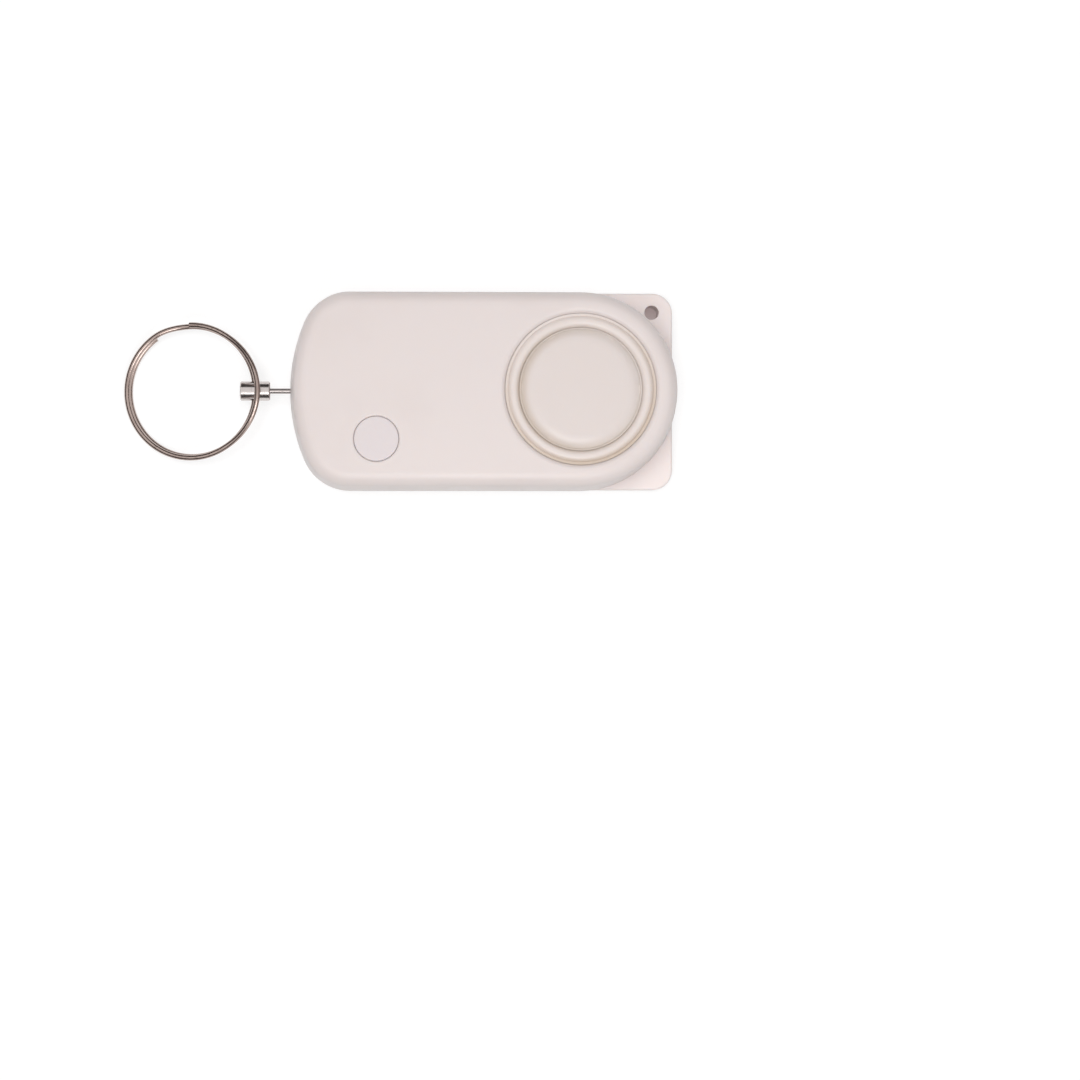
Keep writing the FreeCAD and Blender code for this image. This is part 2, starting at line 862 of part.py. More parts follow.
def boost_coil_winding():
    low = cup_top - coil_height + coil_flange_thickness
    return tube(coil_radius - coil_winding_inset, coil_core_radius, low, cup_top - coil_flange_thickness,
                coil_x, coil_y)


def storage_capacitor():
    """A small can lying under the board, with a bead near its open end."""
    z = cup_top - can_radius - can_seat_gap
    start = coil_x - coil_radius
    can = rod_along_x(can_radius, start, start + can_length, can_y, z)
    bead_x = start + 2 * can_bead_radius
    bead = Part.makeTorus(can_radius + can_bead_radius / 2, can_bead_radius, V(bead_x, can_y, z), X_AXIS)
    return can.cut(bead)


def lamp():
    """A round topped lamp that lies along X in the corner, with its dome through the side."""
    dome_tip = tab_end_x + lamp_stand_out
    dome_start = dome_tip - lamp_radius
    body_start = dome_start - lamp_body_length
    body = rod_along_x(lamp_radius, body_start, dome_start, lamp_y, lamp_level)
    flange_start = body_start - lamp_flange_thickness
    flange = rod_along_x(lamp_flange_radius, flange_start, body_start, lamp_y, lamp_level)
    dome = Part.makeSphere(lamp_radius, V(dome_start, lamp_y, lamp_level))
    half_space = block(dome_start, siren_end_x, lamp_y - 2 * lamp_radius, lamp_y + 2 * lamp_radius,
                       lamp_level - 2 * lamp_radius, lamp_level + 2 * lamp_radius)
    return fused(body, flange, dome.common(half_space))


def lamp_leads():
    """Two bent leads from the lamp back under the board and up to it."""
    start = tab_end_x + lamp_stand_out - lamp_radius - lamp_body_length - lamp_flange_thickness
    leads = []
    for number, side in enumerate((1, -1)):
        z = lamp_level + side * lamp_lead_spacing / 2
        x = board_end_x - lamp_lead_step * (1 + number) / 2
        bend = V(x + lamp_lead_bend, lamp_y, z)
        rise = V(x, lamp_y, z + lamp_lead_bend)
        lift = lamp_lead_bend * (1 - math.cos(math.pi / 4))
        middle = V(x + lift, lamp_y, z + lift)
        path = Part.Wire([
            Part.LineSegment(V(start, lamp_y, z), bend).toShape(),
            Part.Arc(bend, middle, rise).toShape(),
            Part.LineSegment(rise, V(x, lamp_y, cup_top)).toShape(),
        ])
        section = Part.Wire(Part.Circle(V(start, lamp_y, z), X_AXIS, lamp_lead_radius).toShape())
        leads.append(path.makePipeShell([section], True, False))
    return Part.makeCompound(leads)


def coin_cell(number):
    """One button cell: a wide can below and a narrower cap on top."""
    low = cell_level + number * cell_height
    shoulder = low + cell_height - cell_cap_height
    return fused(
        cylinder(cell_radius, low, shoulder, battery_x, 0),
        cylinder(cell_cap_radius, shoulder, low + cell_height, battery_x, 0),
    )


def battery_contact_positive():
    """The side contact: a strip in the cup's slot with a bump on the lower cell's can."""
    near = cell_radius + contact_touch_gap + contact_thickness / 2
    far = near + contact_thickness
    half = contact_width / 2
    low = step_level + cup_step + contact_touch_gap
    strip = block(battery_x - half, battery_x + half, near, far, low, cup_top)
    bump_z = (low + cell_level + cell_height) / 2
    bump = Part.makeCylinder(contact_thickness, near - cell_radius - contact_touch_gap + contact_thickness,
                             V(battery_x, cell_radius + contact_touch_gap, bump_z), Y_AXIS)
    return fused(strip, bump)


def battery_contact_negative():
    """The top contact: a strip under the cup's ceiling with a dome on the cell and a post to the board."""
    ceiling = cup_top - cup_ceiling
    half = negative_strip_length / 2
    strip = block(battery_x - half, battery_x + half, -contact_width / 2, contact_width / 2,
                  ceiling - contact_thickness, ceiling)
    dome = cylinder(negative_dome_radius, stack_top + contact_touch_gap, ceiling, battery_x, 0)
    post = cylinder(contact_post_radius, ceiling - contact_thickness, cup_top, battery_x, 0)
    return fused(strip, dome, post)


def battery_hatch():
    """The bayonet cover: a shallow cup with tabs that turn under the floor, a seal groove and a coin slot."""
    rim_top = tab_level + hatch_tab_thickness
    cup = cylinder(hatch_radius, hatch_recess, rim_top, battery_x, 0)
    cup = cup.cut(cylinder(cup_radius, hatch_recess + hatch_floor, rim_top, battery_x, 0))
    tabs = []
    for number in range(hatch_tab_count):
        tabs.append(sector(hatch_radius - hatch_rim / 2, hatch_tab_radius, tab_level, rim_top,
                           number * 360.0 / hatch_tab_count, hatch_tab_angle, battery_x, 0))
    hatch = fused(cup, *tabs)
    seal_z = hatch_recess + hatch_floor / 2
    groove_half = seal_radius + seal_gap / 2
    groove = tube(hatch_opening_radius, hatch_opening_radius - 2 * groove_half - seal_gap,
                  seal_z - groove_half, seal_z + groove_half, battery_x, 0)
    hatch = hatch.cut(groove)
    return hatch.cut(block(
        battery_x - coin_slot_width / 2, battery_x + coin_slot_width / 2,
        -coin_slot_length / 2, coin_slot_length / 2,
        0, hatch_recess + coin_slot_depth,
    ))


def hatch_seal():
    centre_radius = hatch_opening_radius - seal_gap - seal_radius
    return Part.makeTorus(centre_radius, seal_radius, V(battery_x, 0, hatch_recess + hatch_floor / 2), Z_AXIS)


def socket_start():
    return pin_end_x + wall + socket_wall_gap


def pin_socket():
    """The block under the board that guides the pin and holds the two contact leaves."""
    start = socket_start()
    end = start + socket_length
    body = block(start, end, -socket_half_width, socket_half_width,
                 pin_level - socket_under_pin, cup_top)
    pocket = block(start + socket_face_thickness, end, -socket_pocket_half_width, socket_pocket_half_width,
                   pin_level - socket_pocket_half_height, pin_level + socket_pocket_half_height)
    body = body.cut(pocket)
    rounded = front_prism(wall + socket_wall_gap, seam_height, cup_top)
    rounded = rounded.fuse(back_prism(wall + socket_wall_gap, wall, seam_height))
    body = body.common(rounded)
    return body.cut(rod_along_x(pin_radius + pin_clearance, start, end, 0, pin_level))


def contact_leaf(side):
    """A strip that lies on one side of the pin, with a riser behind the socket up to the board."""
    start = socket_start() + socket_face_thickness + leaf_front_gap
    end = socket_start() + socket_length + leaf_touch_gap
    if side < 0:
        end += leaf_riser_spacing
    near = pin_radius + leaf_touch_gap
    low, high = sorted((pin_level + side * near, pin_level + side * (near + leaf_thickness)))
    strip = block(start, end + leaf_thickness, -leaf_half_width, leaf_half_width, low, high)
    riser = block(end, end + leaf_thickness, -leaf_half_width, leaf_half_width, low, cup_top)
    return fused(strip, riser)


def pin_steel_end():
    return pin_end_x + pin_depth - pin_tip_length


def pull_pin():
    """The steel rod, with a head inside the ferrule and a spigot for its tip."""
    head_end = ferrule_end_x - ferrule_shoulder - head_clearance
    head = rod_along_x(pin_head_radius, head_end - pin_head_length, head_end, 0, pin_level)
    shaft_end = pin_steel_end()
    shaft = rod_along_x(pin_radius, head_end, shaft_end, 0, pin_level)
    spigot = rod_along_x(pin_spigot_radius, shaft_end, shaft_end + pin_spigot_length, 0, pin_level)
    return fused(head, shaft, spigot)


def pin_tip():
    """The insulating nose that parts the contact leaves."""
    start = pin_steel_end()
    end = pin_end_x + pin_depth
    nose_start = end - pin_radius
    body = rod_along_x(pin_radius, start, nose_start, 0, pin_level)
    nose = Part.makeSphere(pin_radius, V(nose_start, 0, pin_level))
    bore = rod_along_x(pin_spigot_radius + spigot_clearance, start,
                       start + pin_spigot_length + spigot_clearance, 0, pin_level)
    return fused(body, nose).cut(bore)


def ferrule():
    """The barrel that turns on the pin's head, drilled across for the ring's wire."""
    barrel = rod_along_x(ferrule_radius, ferrule_start_x, ferrule_end_x, 0, pin_level)
    rims = [edge for edge in barrel.Edges if isinstance(edge.Curve, Part.Circle)]
    barrel = barrel.makeChamfer(ferrule_chamfer, rims)
    bore = rod_along_x(pin_head_radius + head_clearance, ferrule_start_x,
                       ferrule_end_x - ferrule_shoulder, 0, pin_level)
    neck = rod_along_x(pin_radius + pin_clearance, ferrule_start_x, ferrule_end_x, 0, pin_level)
    cross = Part.makeCylinder(wire_radius + cross_hole_clearance, 4 * ferrule_radius,
                              V(pivot_x, -2 * ferrule_radius, pin_level), Y_AXIS)
    return barrel.cut(bore).cut(neck).cut(cross)


def eased(share):
    """A smooth step from 0 to 1."""
    share = min(1.0, max(0.0, share))
    return share * share * (3 - 2 * share)


def ring_point(angle):
    """A point on the wire's centre line in the ring's own plane, with the angle counted along both turns.

    The first turn lies in the plane through the ferrule. The second lies one wire higher and is a little
    wider, and near the ferrule it lifts and bows out to pass over it.
    """
    second = eased((angle - crossover_angle - 360 + crossover_half_angle) / (2 * crossover_half_angle))
    from_ferrule = abs(angle - 720)
    over = second * eased(1 - from_ferrule / lift_half_angle)
    rise = turn_rise * second + (ring_lift_over_ferrule - turn_rise) * over
    radius = turn_radius + turn_spread * second + ring_bow_over_ferrule * over
    turn = math.radians(angle)
    return V(radius * math.cos(turn) - turn_radius, radius * math.sin(turn), rise)


def ring_angles():
    """The angles where the wire's arcs meet: wide apart on the plain turns, close together on the bends."""
    start = crossover_angle + crossover_half_angle + end_gap_angle
    end = 720 + crossover_angle - crossover_half_angle - end_gap_angle
    marks = [start]
    bends = [
        (360 + crossover_angle - crossover_half_angle, 360 + crossover_angle + crossover_half_angle),
        (720 - lift_half_angle, 720 + lift_half_angle),
    ]
    for low, high in bends:
        plain = marks[-1]
        count = max(1, math.ceil((low - plain) / plain_step))
        marks += [plain + (low - plain) * number / count for number in range(1, count + 1)]
        marks += [low + (high - low) * number / bend_steps for number in range(1, bend_steps + 1)]
    plain = marks[-1]
    count = max(1, math.ceil((end - plain) / plain_step))
    return marks + [plain + (end - plain) * number / count for number in range(1, count + 1)]


def arc_between(start, corner, end):
    """The arc from start to end whose tangents meet at the corner."""
    chord = end - start
    middle = (start + end) * 0.5
    half_angle = (corner - start).getAngle(chord)
    if half_angle < 1e-6:
        return Part.LineSegment(start, end).toShape()
    share = math.tan(half_angle / 2) / math.tan(half_angle)
    return Part.Arc(start, middle + (corner - middle) * share, end).toShape()


def biarc(start, start_way, end, end_way):
    """Two arcs that join two points smoothly along the given directions."""
    across = end - start
    ways = start_way + end_way
    turn = 2 * (1 - start_way.dot(end_way))
    straight = across.dot(ways)
    reach = (-straight + math.sqrt(straight ** 2 + turn * across.dot(across))) / turn
    first = start + start_way * reach
    second = end - end_way * reach
    joint = (first + second) * 0.5
    return [arc_between(start, first, joint), arc_between(joint, second, end)]


def split_ring():
    """One unbroken wire of two turns: one passes through the ferrule, the other over it."""
    angles = ring_angles()
    step = 0.01
    points = [ring_point(angle) for angle in angles]
    ways = [(ring_point(angle + step) - ring_point(angle - step)).normalize() for angle in angles]
    edges = []
    for number in range(len(angles) - 1):
        edges += biarc(points[number], ways[number], points[number + 1], ways[number + 1])
    path = Part.Wire(edges)
    section = Part.Wire(Part.Circle(points[0], ways[0], wire_radius).toShape())
    wire = path.makePipeShell([section], True, False)
    print("split ring: wire length", round(path.Length, 2), "volume", round(wire.Volume, 3),
          "section times length", round(math.pi * wire_radius ** 2 * path.Length, 3))
    wire.rotate(V(0, 0, 0), Y_AXIS, -ring_droop)
    wire.translate(V(pivot_x, 0, pin_level))
    return wire


def least_turn_gap():
    """The least clear distance between the two turns, measured on points of the centre line."""
    angles = ring_angles()
    count = 360
    step = (angles[-1] - angles[0]) / count
    samples = [angles[0] + number * step for number in range(count + 1)]
    points = [ring_point(angle) for angle in samples]
    least = ring_outer_radius
    for number, here in enumerate(points):
        for other in range(number, len(points)):
            if samples[other] - samples[number] > 300:
                least = min(least, here.distanceToPoint(points[other]))
    return least - 2 * wire_radius


def save(name, shape):
    shape.exportStep("parts/" + name + ".step")
    print(name, "solids", len(shape.Solids), "valid", shape.isValid(), "volume", round(shape.Volume, 2))


def main():
    os.makedirs("parts", exist_ok=True)
    pieces = {
        "front_shell": front_shell,
        "back_shell": back_shell,
        "case_screws": case_screws,
        "siren_ring": siren_ring,
        "siren_cap": siren_cap,
        "siren_chamber": siren_chamber,
        "piezo_plate": piezo_plate,
        "piezo_ceramic": piezo_ceramic,
        "piezo_gasket": piezo_gasket,
        "siren_leads": siren_leads,
        "push_button": push_button,
        "switch_housing": switch_housing,
        "switch_cover": switch_cover,
        "switch_plunger": switch_plunger,
        "circuit_board": circuit_board,
        "board_screws": board_screws,
        "controller_chip": controller_chip,
        "driver_transistor": driver_transistor,
        "chip_resistors": chip_resistors,
        "chip_capacitors": chip_capacitors,
        "boost_coil_core": boost_coil_core,
        "boost_coil_winding": boost_coil_winding,
        "storage_capacitor": storage_capacitor,
        "lamp": lamp,
        "lamp_leads": lamp_leads,
        "battery_contact_positive": battery_contact_positive,
        "battery_contact_negative": battery_contact_negative,
        "battery_hatch": battery_hatch,
        "hatch_seal": hatch_seal,
        "pin_socket": pin_socket,
        "pull_pin": pull_pin,
        "pin_tip": pin_tip,
        "ferrule": ferrule,
        "split_ring": split_ring,
    }
    for name, make in pieces.items():
        save(name, make())
    save("contact_leaf_upper", contact_leaf(1))
    save("contact_leaf_lower", contact_leaf(-1))
    for number in range(cell_count):
        save("coin_cell_" + str(number + 1), coin_cell(number))
    print("case height", round(case_height, 3), "ring droop", round(ring_droop, 2),
          "least gap between turns", round(least_turn_gap(), 3))


main()
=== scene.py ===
# %% [markdown]
# # A pocket personal alarm
# The object is a cream plastic case as long as a finger. It has a round siren, a flush push button, a red
# lamp in one corner and a lanyard hole in the other. A steel pin goes into its end, and a split key ring
# hangs on the pin.
#
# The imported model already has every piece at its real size. This lesson loads it as a fixed frame, gives
# each piece the finish of its real material, remakes the pieces that follow a rule with Geometry Nodes,
# and then lights and photographs the result. All lengths are metres, and the frame's own coordinates are
# kept.

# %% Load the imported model
import json
import math
import bpy
from mathutils import Matrix, Vector


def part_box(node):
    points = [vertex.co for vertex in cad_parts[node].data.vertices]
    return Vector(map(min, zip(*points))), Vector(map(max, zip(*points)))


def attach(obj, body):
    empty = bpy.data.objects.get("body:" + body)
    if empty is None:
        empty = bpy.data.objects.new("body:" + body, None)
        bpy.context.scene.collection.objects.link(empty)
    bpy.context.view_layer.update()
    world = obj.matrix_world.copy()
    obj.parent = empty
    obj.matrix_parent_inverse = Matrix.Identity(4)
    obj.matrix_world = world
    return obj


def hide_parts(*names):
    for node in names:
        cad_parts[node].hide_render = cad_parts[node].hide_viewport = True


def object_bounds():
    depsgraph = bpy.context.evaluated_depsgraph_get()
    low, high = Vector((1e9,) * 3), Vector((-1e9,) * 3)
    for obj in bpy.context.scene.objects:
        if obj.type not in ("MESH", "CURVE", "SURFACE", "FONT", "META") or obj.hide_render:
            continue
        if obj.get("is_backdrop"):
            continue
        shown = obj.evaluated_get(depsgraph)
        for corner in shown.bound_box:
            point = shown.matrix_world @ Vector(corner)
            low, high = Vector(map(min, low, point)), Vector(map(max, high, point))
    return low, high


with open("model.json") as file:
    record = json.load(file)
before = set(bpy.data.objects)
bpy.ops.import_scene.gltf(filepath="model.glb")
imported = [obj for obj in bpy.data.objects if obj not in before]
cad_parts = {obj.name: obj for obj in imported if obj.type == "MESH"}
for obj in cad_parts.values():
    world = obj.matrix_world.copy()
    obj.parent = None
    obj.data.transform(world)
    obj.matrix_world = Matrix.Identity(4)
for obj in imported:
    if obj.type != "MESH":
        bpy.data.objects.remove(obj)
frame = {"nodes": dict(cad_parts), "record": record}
cad_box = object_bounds()
MM = 0.001

# %% [markdown]
# ## Measures
# Everything that is placed later hangs on a few measures of the real pieces. They are read from the boxes
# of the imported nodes, so the lesson still works when the model is built a little longer or wider.

# %% Read the measures from the frame
BEAD_OUTSIDE_CAP = 1.45 * MM


def middle(node):
    """The middle of a node's box."""
    low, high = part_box(node)
    return (low + high) / 2


cap_low, cap_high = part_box("siren_cap")
pin_low, pin_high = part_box("pull_pin")
seam_level = (pin_low.z + pin_high.z) / 2
face_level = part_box("front_shell")[1].z
siren_centre = middle("siren_cap")
cap_radius = (cap_high.y - cap_low.y) / 2
bead_radius = cap_radius + BEAD_OUTSIDE_CAP
pivot = middle("ferrule")
print("seam at", round(seam_level / MM, 2), "mm, face at", round(face_level / MM, 2), "mm")
print("siren's centre at x", round(siren_centre.x / MM, 2), "mm, cap radius", round(cap_radius / MM, 2), "mm")

# %% [markdown]
# ## Finishes as arithmetic
# A finish is a tree of shader nodes. Wiring it by hand hides the idea, so two small classes let the
# script say it in plain sums. A `Value` is one output of a node, and adding or multiplying two of them
# adds a Math node. A `Graph` is the tree, and its method `node` makes any other node: settings first, then
# the sockets.


# %% The two classes
class Value:
    """One output of a node, for use in sums."""

    def __init__(self, graph, socket):
        self.graph = graph
        self.socket = socket

    def sum_with(self, operation, first, second=0.0):
        return self.graph.node("ShaderNodeMath", {"operation": operation}, {0: first, 1: second})

    def __add__(self, other):
        return self.sum_with("ADD", self, other)

    def __radd__(self, other):
        return self.sum_with("ADD", other, self)

    def __sub__(self, other):
        return self.sum_with("SUBTRACT", self, other)

    def __rsub__(self, other):
        return self.sum_with("SUBTRACT", other, self)

    def __mul__(self, other):
        return self.sum_with("MULTIPLY", self, other)

    def __rmul__(self, other):
        return self.sum_with("MULTIPLY", other, self)

    def __truediv__(self, other):
        return self.sum_with("DIVIDE", self, other)

    def __pow__(self, other):
        return self.sum_with("POWER", self, other)

    def __abs__(self):
        return self.sum_with("ABSOLUTE", self)

    def sine(self):
        return self.sum_with("SINE", self)

    def cosine(self):
        return self.sum_with("COSINE", self)

    def fraction(self):
        """What is left above the whole number below it."""
        return self.sum_with("FRACT", self)

    def at_most(self, other):
        return self.sum_with("MINIMUM", self, other)

    def at_least(self, other):
        return self.sum_with("MAXIMUM", self, other)

    def eased(self, low, high):
        """0 below low, 1 above high, and a smooth step in between. It falls where high is below low."""
        return self.graph.node(
            "ShaderNodeMapRange",
            {"interpolation_type": "SMOOTHSTEP"},
            {"Value": self, "From Min": low, "From Max": high},
        )


class Graph:
    """A node tree, for materials and for geometry alike."""

    def __init__(self, tree):
        self.tree = tree

    def node(self, kind, settings, sockets, output=0):
        """Adds a node, fills its settings and sockets, and gives one of its outputs."""
        made = self.tree.nodes.new(kind)
        for name, setting in settings.items():
            setattr(made, name, setting)
        for key, value in sockets.items():
            self.join(value, made.inputs[key])
        return Value(self, made.outputs[output])

    def join(self, value, socket):
        """Links a value to a socket, or writes a plain number, colour or name into it."""
        if isinstance(value, Value):
            self.tree.links.new(value.socket, socket)
        else:
            socket.default_value = value

    def parts(self, vector):
        """The x, y and z of a vector, as three values."""
        split = self.node("ShaderNodeSeparateXYZ", {}, {0: vector}).socket.node
        return [Value(self, split.outputs[number]) for number in range(3)]

    def vector(self, x, y, z):
        return self.node("ShaderNodeCombineXYZ", {}, {0: x, 1: y, 2: z})


# %% [markdown]
# ## The ground of every finish
# Moulded plastic and metal are never one flat colour. Each finish here starts from a base colour, a faint
# cloud of tone, and a fine grain that only bends the light. A class keeps the parts that all finishes
# share. Its patterns read Object coordinates, which are plain metres on every piece, so a grain of 0.1 mm
# stays 0.1 mm.


# %% A class for finishes
class Finish(Graph):
    """One material: a Principled shader with patterns that read the place on the piece."""

    def __init__(self, name, colour, roughness, metallic=0.0, **constants):
        self.material = bpy.data.materials.new(name)
        self.material.use_nodes = True
        super().__init__(self.material.node_tree)
        self.shader = self.tree.nodes["Principled BSDF"]
        self.place = self.node("ShaderNodeTexCoord", {}, {}, "Object")
        self.colour = (*colour, 1.0)
        self.set("Base Color", self.colour)
        self.set("Roughness", roughness)
        self.set("Metallic", metallic)
        for name, value in constants.items():
            self.set(name.replace("_", " "), value)

    def set(self, socket, value):
        self.join(value, self.shader.inputs[socket])

    def noise(self, size, detail=2.0, place=None):
        """Cloudy noise from 0 to 1 whose blots are about this size."""
        sockets = {"Vector": place or self.place, "Scale": 1 / size, "Detail": detail}
        return self.node("ShaderNodeTexNoise", {}, sockets)

    def blend(self, share, first, second):
        """A colour that goes from the first to the second."""
        settings = {"data_type": "RGBA", "clamp_factor": True}
        return self.node("ShaderNodeMix", settings, {0: share, 6: first, 7: second}, 2)

    def tint(self, share, colour):
        """Lays another colour over the base colour, as far as share says."""
        self.colour = self.blend(share, self.colour, (*colour, 1.0))
        self.set("Base Color", self.colour)

    def relief(self, height, distance, strength=1.0):
        """Bends the light as if the surface rose by the distance where height is 1."""
        sockets = {"Strength": strength, "Distance": distance, "Height": height}
        self.set("Normal", self.node("ShaderNodeBump", {}, sockets))

    def from_axis(self, centre):
        """Distance from an upright axis through a point."""
        x, y, _ = self.parts(self.place)
        across = x - centre.x
        along = y - centre.y
        return (across * across + along * along) ** 0.5

    def facing_up(self):
        """1 on a face that looks up, 0 on an upright wall, -1 on a face that looks down."""
        return self.parts(self.node("ShaderNodeNewGeometry", {}, {}, "Normal"))[2]


def dress(finish, *nodes):
    """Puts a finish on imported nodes."""
    for name in nodes:
        piece = frame["nodes"][name]
        for slot in piece.material_slots:
            slot.material = finish.material
        print(name, "gets", finish.material.name)


# %% [markdown]
# ## Case plastic
# The case is cream ABS from a fine spark-eroded mould: satin, with a grain that is only just visible.
# Handling has polished it in patches, so its roughness wanders a little. Light enters such a pale plastic
# and comes out again close by, which fills the bottoms of narrow grooves. The subsurface settings do
# that. The seam between the front and back halves gets painted shade: a thin dark line at its level, on
# upright walls only, for the shade in its gap. The back half is painted a little paler than the front,
# which is painted light for its corner tabs.

# %% Case plastic
CREAM = (0.782, 0.710, 0.692)
SHADE_OF_CREAM = (0.750, 0.672, 0.650)
# the back half's paler cream is painted light: it brightens the corner tabs, which the lamps leave too dim
BACK_CREAM_PAINTED_LIGHT = (0.890, 0.806, 0.788)
SHADE_OF_BACK_PAINTED_LIGHT = (0.860, 0.772, 0.750)
CREVICE_SHADE_TAN = (0.62, 0.52, 0.42)
CLOUD_SIZE = 14 * MM
CLOUD_LIMITS = (0.45, 0.75)
CLOUD_STRENGTH = 0.5
HANDLED_SIZE = 9 * MM
HANDLED_SWING = 0.16
GRAIN_SIZE = 0.16 * MM
GRAIN_STRENGTH = 0.6
CASE_ROUGHNESS = 0.40
CASE_GRAIN_HEIGHT = 0.004 * MM
SEAM_HALF_WIDTH = 0.05 * MM
SEAM_SHADE_STRENGTH = 0.8
WALL_LIMITS = (0.3, 0.6)
PLASTIC_IOR = 1.5
SCATTER = {
    "Subsurface_Weight": 0.35,
    "Subsurface_Radius": (1.0, 0.85, 0.7),
    "Subsurface_Scale": 0.8 * MM,
}


def moulded(name, colour, shade, roughness, grain_height, **constants):
    """Moulded plastic: clouds of a second shade, handled patches and a fine grain."""
    finish = Finish(name, colour, roughness, IOR=PLASTIC_IOR, **constants)
    cloud = finish.noise(CLOUD_SIZE, 3.0)
    finish.tint(cloud.eased(*CLOUD_LIMITS) * CLOUD_STRENGTH, shade)
    handled = finish.noise(HANDLED_SIZE, 4.0)
    finish.set("Roughness", roughness + (handled - 0.5) * HANDLED_SWING)
    finish.relief(finish.noise(GRAIN_SIZE, 2.0), grain_height, GRAIN_STRENGTH)
    return finish


def case_half(name, colour, shade):
    """The plastic of one half of the case, with a line of painted shade along the seam."""
    finish = moulded(name, colour, shade, CASE_ROUGHNESS, CASE_GRAIN_HEIGHT, **SCATTER)
    level = finish.parts(finish.place)[2]
    upright = 1 - abs(finish.facing_up()).eased(*WALL_LIMITS)
    # painted shade of the seam's gap: a thin dark tan line on upright walls
    seam = abs(level - seam_level).eased(2 * SEAM_HALF_WIDTH, SEAM_HALF_WIDTH)
    finish.tint(seam * upright * SEAM_SHADE_STRENGTH, CREVICE_SHADE_TAN)
    return finish


dress(case_half("case_plastic", CREAM, SHADE_OF_CREAM), "front_shell")
dress(case_half("back_plastic", BACK_CREAM_PAINTED_LIGHT, SHADE_OF_BACK_PAINTED_LIGHT), "back_shell", "battery_hatch")

# %% [markdown]
# ## Siren plastic
# The ring and the cap are moulded in a creamier plastic with a smoother face. The valleys beside the ring
# get painted shade in tan, where their flanks turn away from the light. A faint part of the painted shade
# depends on how deep a point lies. The rest follows the valleys. It is one-sided, strongest at the lower
# side of the outer valley and at the left side of the inner one, and the cosine of the angle round the
# siren writes that. The cap is a little darker than the ring.

# %% Siren plastic
SIREN_CREAM = (0.782, 0.708, 0.676)
SIREN_SHADE = (0.750, 0.670, 0.622)
SIREN_ROUGHNESS = 0.34
SIREN_GRAIN_HEIGHT = 0.002 * MM
CAP_CREAM = (0.748, 0.676, 0.650)
CAP_TONE = 0.8
CAP_EDGE_WIDTH = 2 * MM
GROOVE_SHADE_TAN = (0.57, 0.46, 0.36)
SHADED_DEPTHS = (0.35 * MM, 0.75 * MM)
OUTER_VALLEY = (bead_radius, bead_radius + 0.9 * MM)
INNER_VALLEY_OUTSIDE = (bead_radius - 0.2 * MM, bead_radius - 1.0 * MM)
INNER_VALLEY_INSIDE = (cap_radius - 1.6 * MM, cap_radius)
OUTER_SIDE = math.radians(-70)
INNER_SIDE = math.radians(185)
DEPTH_SHADE_SHARES = (0.08, 0.30)
OUTER_SHADE_SHARES = (0.02, 0.68)
INNER_SHADE_SHARES = (0.05, 0.45)

siren_plastic = moulded(
    "siren_plastic", SIREN_CREAM, SIREN_SHADE, SIREN_ROUGHNESS, SIREN_GRAIN_HEIGHT, **SCATTER
)
x, y, z = siren_plastic.parts(siren_plastic.place)
from_centre = siren_plastic.from_axis(siren_centre)


def one_sided_shade(shares, side):
    """The share of painted shade: the first share everywhere, plus the second share on the siren's side at
    this angle.
    """
    along = (x - siren_centre.x) * math.cos(side) + (y - siren_centre.y) * math.sin(side)
    return shares[0] + shares[1] * (along / from_centre * 0.5 + 0.5)


deep = (face_level - z).eased(*SHADED_DEPTHS)
outer_valley = from_centre.eased(*OUTER_VALLEY)
inner_valley = from_centre.eased(*INNER_VALLEY_OUTSIDE) * from_centre.eased(*INNER_VALLEY_INSIDE)
siren_plastic.tint(from_centre.eased(cap_radius, cap_radius - CAP_EDGE_WIDTH) * CAP_TONE, CAP_CREAM)
# painted shade: tan where the siren lies deep and in its valleys, one-sided as the light falls
siren_plastic.tint(deep * one_sided_shade(DEPTH_SHADE_SHARES, OUTER_SIDE), CREVICE_SHADE_TAN)
siren_plastic.tint(outer_valley * one_sided_shade(OUTER_SHADE_SHARES, OUTER_SIDE), GROOVE_SHADE_TAN)
siren_plastic.tint(inner_valley * one_sided_shade(INNER_SHADE_SHARES, INNER_SIDE), GROOVE_SHADE_TAN)
dress(siren_plastic, "siren_ring", "siren_cap", "siren_chamber")

# %% [markdown]
# ## Button plastic
# The push button is a separate small moulding. Its top is a little smoother and cooler in tone than the
# case, because fingers polish it.

# %% Button plastic
BUTTON_CREAM = (0.752, 0.688, 0.692)
button_plastic = moulded("button_plastic", BUTTON_CREAM, SHADE_OF_CREAM, 0.38, 0.003 * MM, **SCATTER)
dress(button_plastic, "push_button")

# %% [markdown]
# ## Nickel and steel
# The pin, the ferrule and the ring are nickel plated. Plating hides the colour of the steel but keeps the
# marks of the tool: rings round a turned piece, and long streaks on drawn wire. Stretching the place of a
# noise texture along one axis makes streaks, and squeezing it makes rings.


# %% A helper for worked metal
def worked_metal(name, colour, dark, roughness, stretch, mark_height):
    """Metal with marks that are short where stretch is large and long where it is small."""
    finish = Finish(name, colour, roughness, 1.0)
    x, y, z = finish.parts(finish.place)
    marks = finish.noise(1.0, 3.0, finish.vector(x * stretch[0], y * stretch[1], z * stretch[2]))
    finish.tint(marks.eased(0.5, 0.8) * 0.5, dark)
    finish.set("Roughness", roughness + (marks - 0.5) * 0.18)
    finish.relief(marks, mark_height, 0.5)
    return finish


